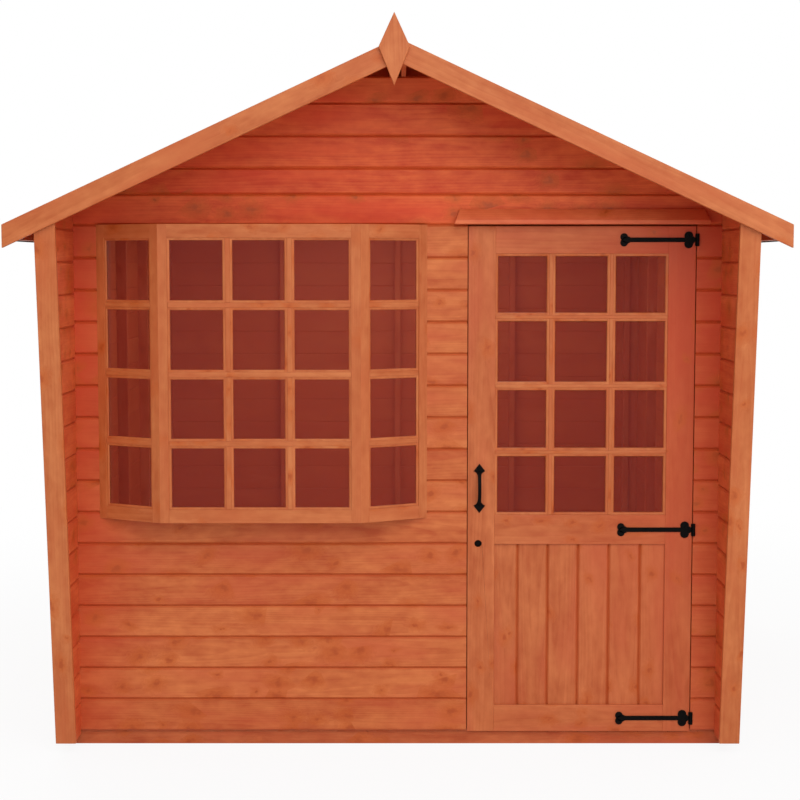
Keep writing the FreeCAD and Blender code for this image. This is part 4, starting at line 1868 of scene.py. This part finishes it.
@dataclass
class Joinery:
    """Framing, trims and outside boards that keep their CAD shape with eased arrises."""

    shop: Workshop
    framing_arris: float = 0.0015
    framing: tuple[str, ...] = (
        "floor_bearers", "left_wall_studs", "right_wall_studs", "rear_wall_studs", "front_wall_studs",
        "left_wall_plates", "right_wall_plates", "rear_wall_plates", "front_wall_plates", "gable_rafters",
        "ridge_beam", "purlins", "door_jambs", "door_stops")
    trim_arris: float = 0.0022
    trims: tuple[str, ...] = (
        "wing_trims", "rear_corner_trims", "bargeboards_left", "bargeboards_right", "eaves_battens")
    finial_arris: float = 0.0020

    def build(self) -> None:
        """Plane every timber."""
        finishes = self.shop.finishes
        for node in self.framing:
            self.shop.planed(node, Body.HOUSE, Slot.FRAMING, finishes.framing, self.framing_arris)
        for node in self.trims:
            self.shop.planed(node, Body.HOUSE, Slot.TRIM, finishes.trim, self.trim_arris)
        self.shop.planed("drip_board", Body.HOUSE, Slot.TRIM, finishes.drip_lit_and_shaded, self.trim_arris)
        self.shop.planed("finials", Body.HOUSE, Slot.TRIM, finishes.trim, self.finial_arris, Z)
        finishes.put(self.shop.nodes["hinge_leaves"], finishes.iron)


@dataclass(frozen=True)
class Softbox:
    """One square lamp: where it stands, where it points, its side and its watts."""

    name: str
    at: tuple[float, float, float]
    towards: tuple[float, float, float]
    size: float
    power: float

    def hang(self) -> None:
        """Add the lamp to the studio."""
        Bench.clear()
        turn = (Vector(self.towards) - Vector(self.at)).to_track_quat("-Z", "Y").to_euler()
        bpy.ops.object.light_add(type="AREA", location=self.at, rotation=turn)
        lamp = bpy.context.object
        lamp.name = self.name
        lamp.data.shape, lamp.data.size, lamp.data.energy = "SQUARE", self.size, self.power
        lamp.visible_camera = False


@dataclass
class Studio:
    """Camera, lamps, world and floor."""

    camera_at: tuple[float, float, float] = (0.0, -6.968, 1.742)
    pitch_down: float = math.atan(135 / 1650)  # pixels from the horizon to the middle, over the lens
    lens: float = 74.25
    sensor: float = 36.0
    shift: float = 0.003
    nearest: float = 0.05
    farthest: float = 200.0
    floor_half: float = 60.0
    sky: float = 0.55
    lamps: tuple[Softbox, ...] = (
        Softbox("front_softbox", (1.7, -7.2, 5.0), (0.0, -1.0, 1.0), 6.0, 290.0),
        Softbox("side_softbox", (6.5, -3.0, 3.6), (0.0, -1.0, 1.2), 4.0, 45.0),
        Softbox("rear_softbox", (-3.0, 7.0, 5.0), (0.0, 1.0, 1.2), 5.0, 260.0),
        Softbox("inside_softbox", (0.0, 0.1, 2.05), (0.0, 0.1, 0.0), 1.4, 19.0))

    def build(self) -> None:
        """Set the studio up."""
        self._camera()
        self._floor()
        self._world()
        for lamp in self.lamps:
            lamp.hang()
        bpy.context.scene.view_settings.view_transform = "Standard"

    def _camera(self) -> None:
        """The photograph's own view."""
        Bench.clear()
        bpy.ops.object.camera_add(location=self.camera_at, rotation=(math.pi / 2 - self.pitch_down, 0, 0))
        camera = bpy.context.object
        camera.name = "studio_camera"
        camera.data.lens, camera.data.sensor_width = self.lens, self.sensor
        camera.data.shift_x = self.shift
        camera.data.clip_start, camera.data.clip_end = self.nearest, self.farthest
        bpy.context.scene.camera = camera

    def _floor(self) -> None:
        """A wide pale floor."""
        Bench.clear()
        bpy.ops.mesh.primitive_plane_add(size=2 * self.floor_half, location=(0, 0, 0))
        floor = bpy.context.object
        floor.name = "studio_floor"
        floor.data.materials.append(PaleFloor("pale_floor").material())

    def _world(self) -> None:
        """A plain white surround."""
        world = bpy.data.worlds.new("studio_surround")
        tree = Tree(world)
        strength = tree.seen_plainly() * (1.0 - self.sky) + self.sky
        back = tree.add("ShaderNodeBackground", {"Color": WHITE, "Strength": strength})
        tree.add("ShaderNodeOutputWorld", {"Surface": back.outputs[0]})
        bpy.context.scene.world = world


def main() -> None:
    """Build the summerhouse, sub-assembly by sub-assembly."""
    logging.basicConfig(level=logging.INFO, format="%(message)s")
    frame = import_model()
    shop = Workshop(frame["nodes"])
    stock = BoardStock(shop.yard)
    walls = Walls(shop, stock)
    Studio().build()
    walls.build()
    Floor(shop, stock).build()
    Roof(shop, stock).build()
    Door(shop, stock).build()
    stock.clear_away()
    Bay(shop).build()
    Joinery(shop).build()
    Pins(shop, walls).build()


if __name__ == "__main__":
    main()
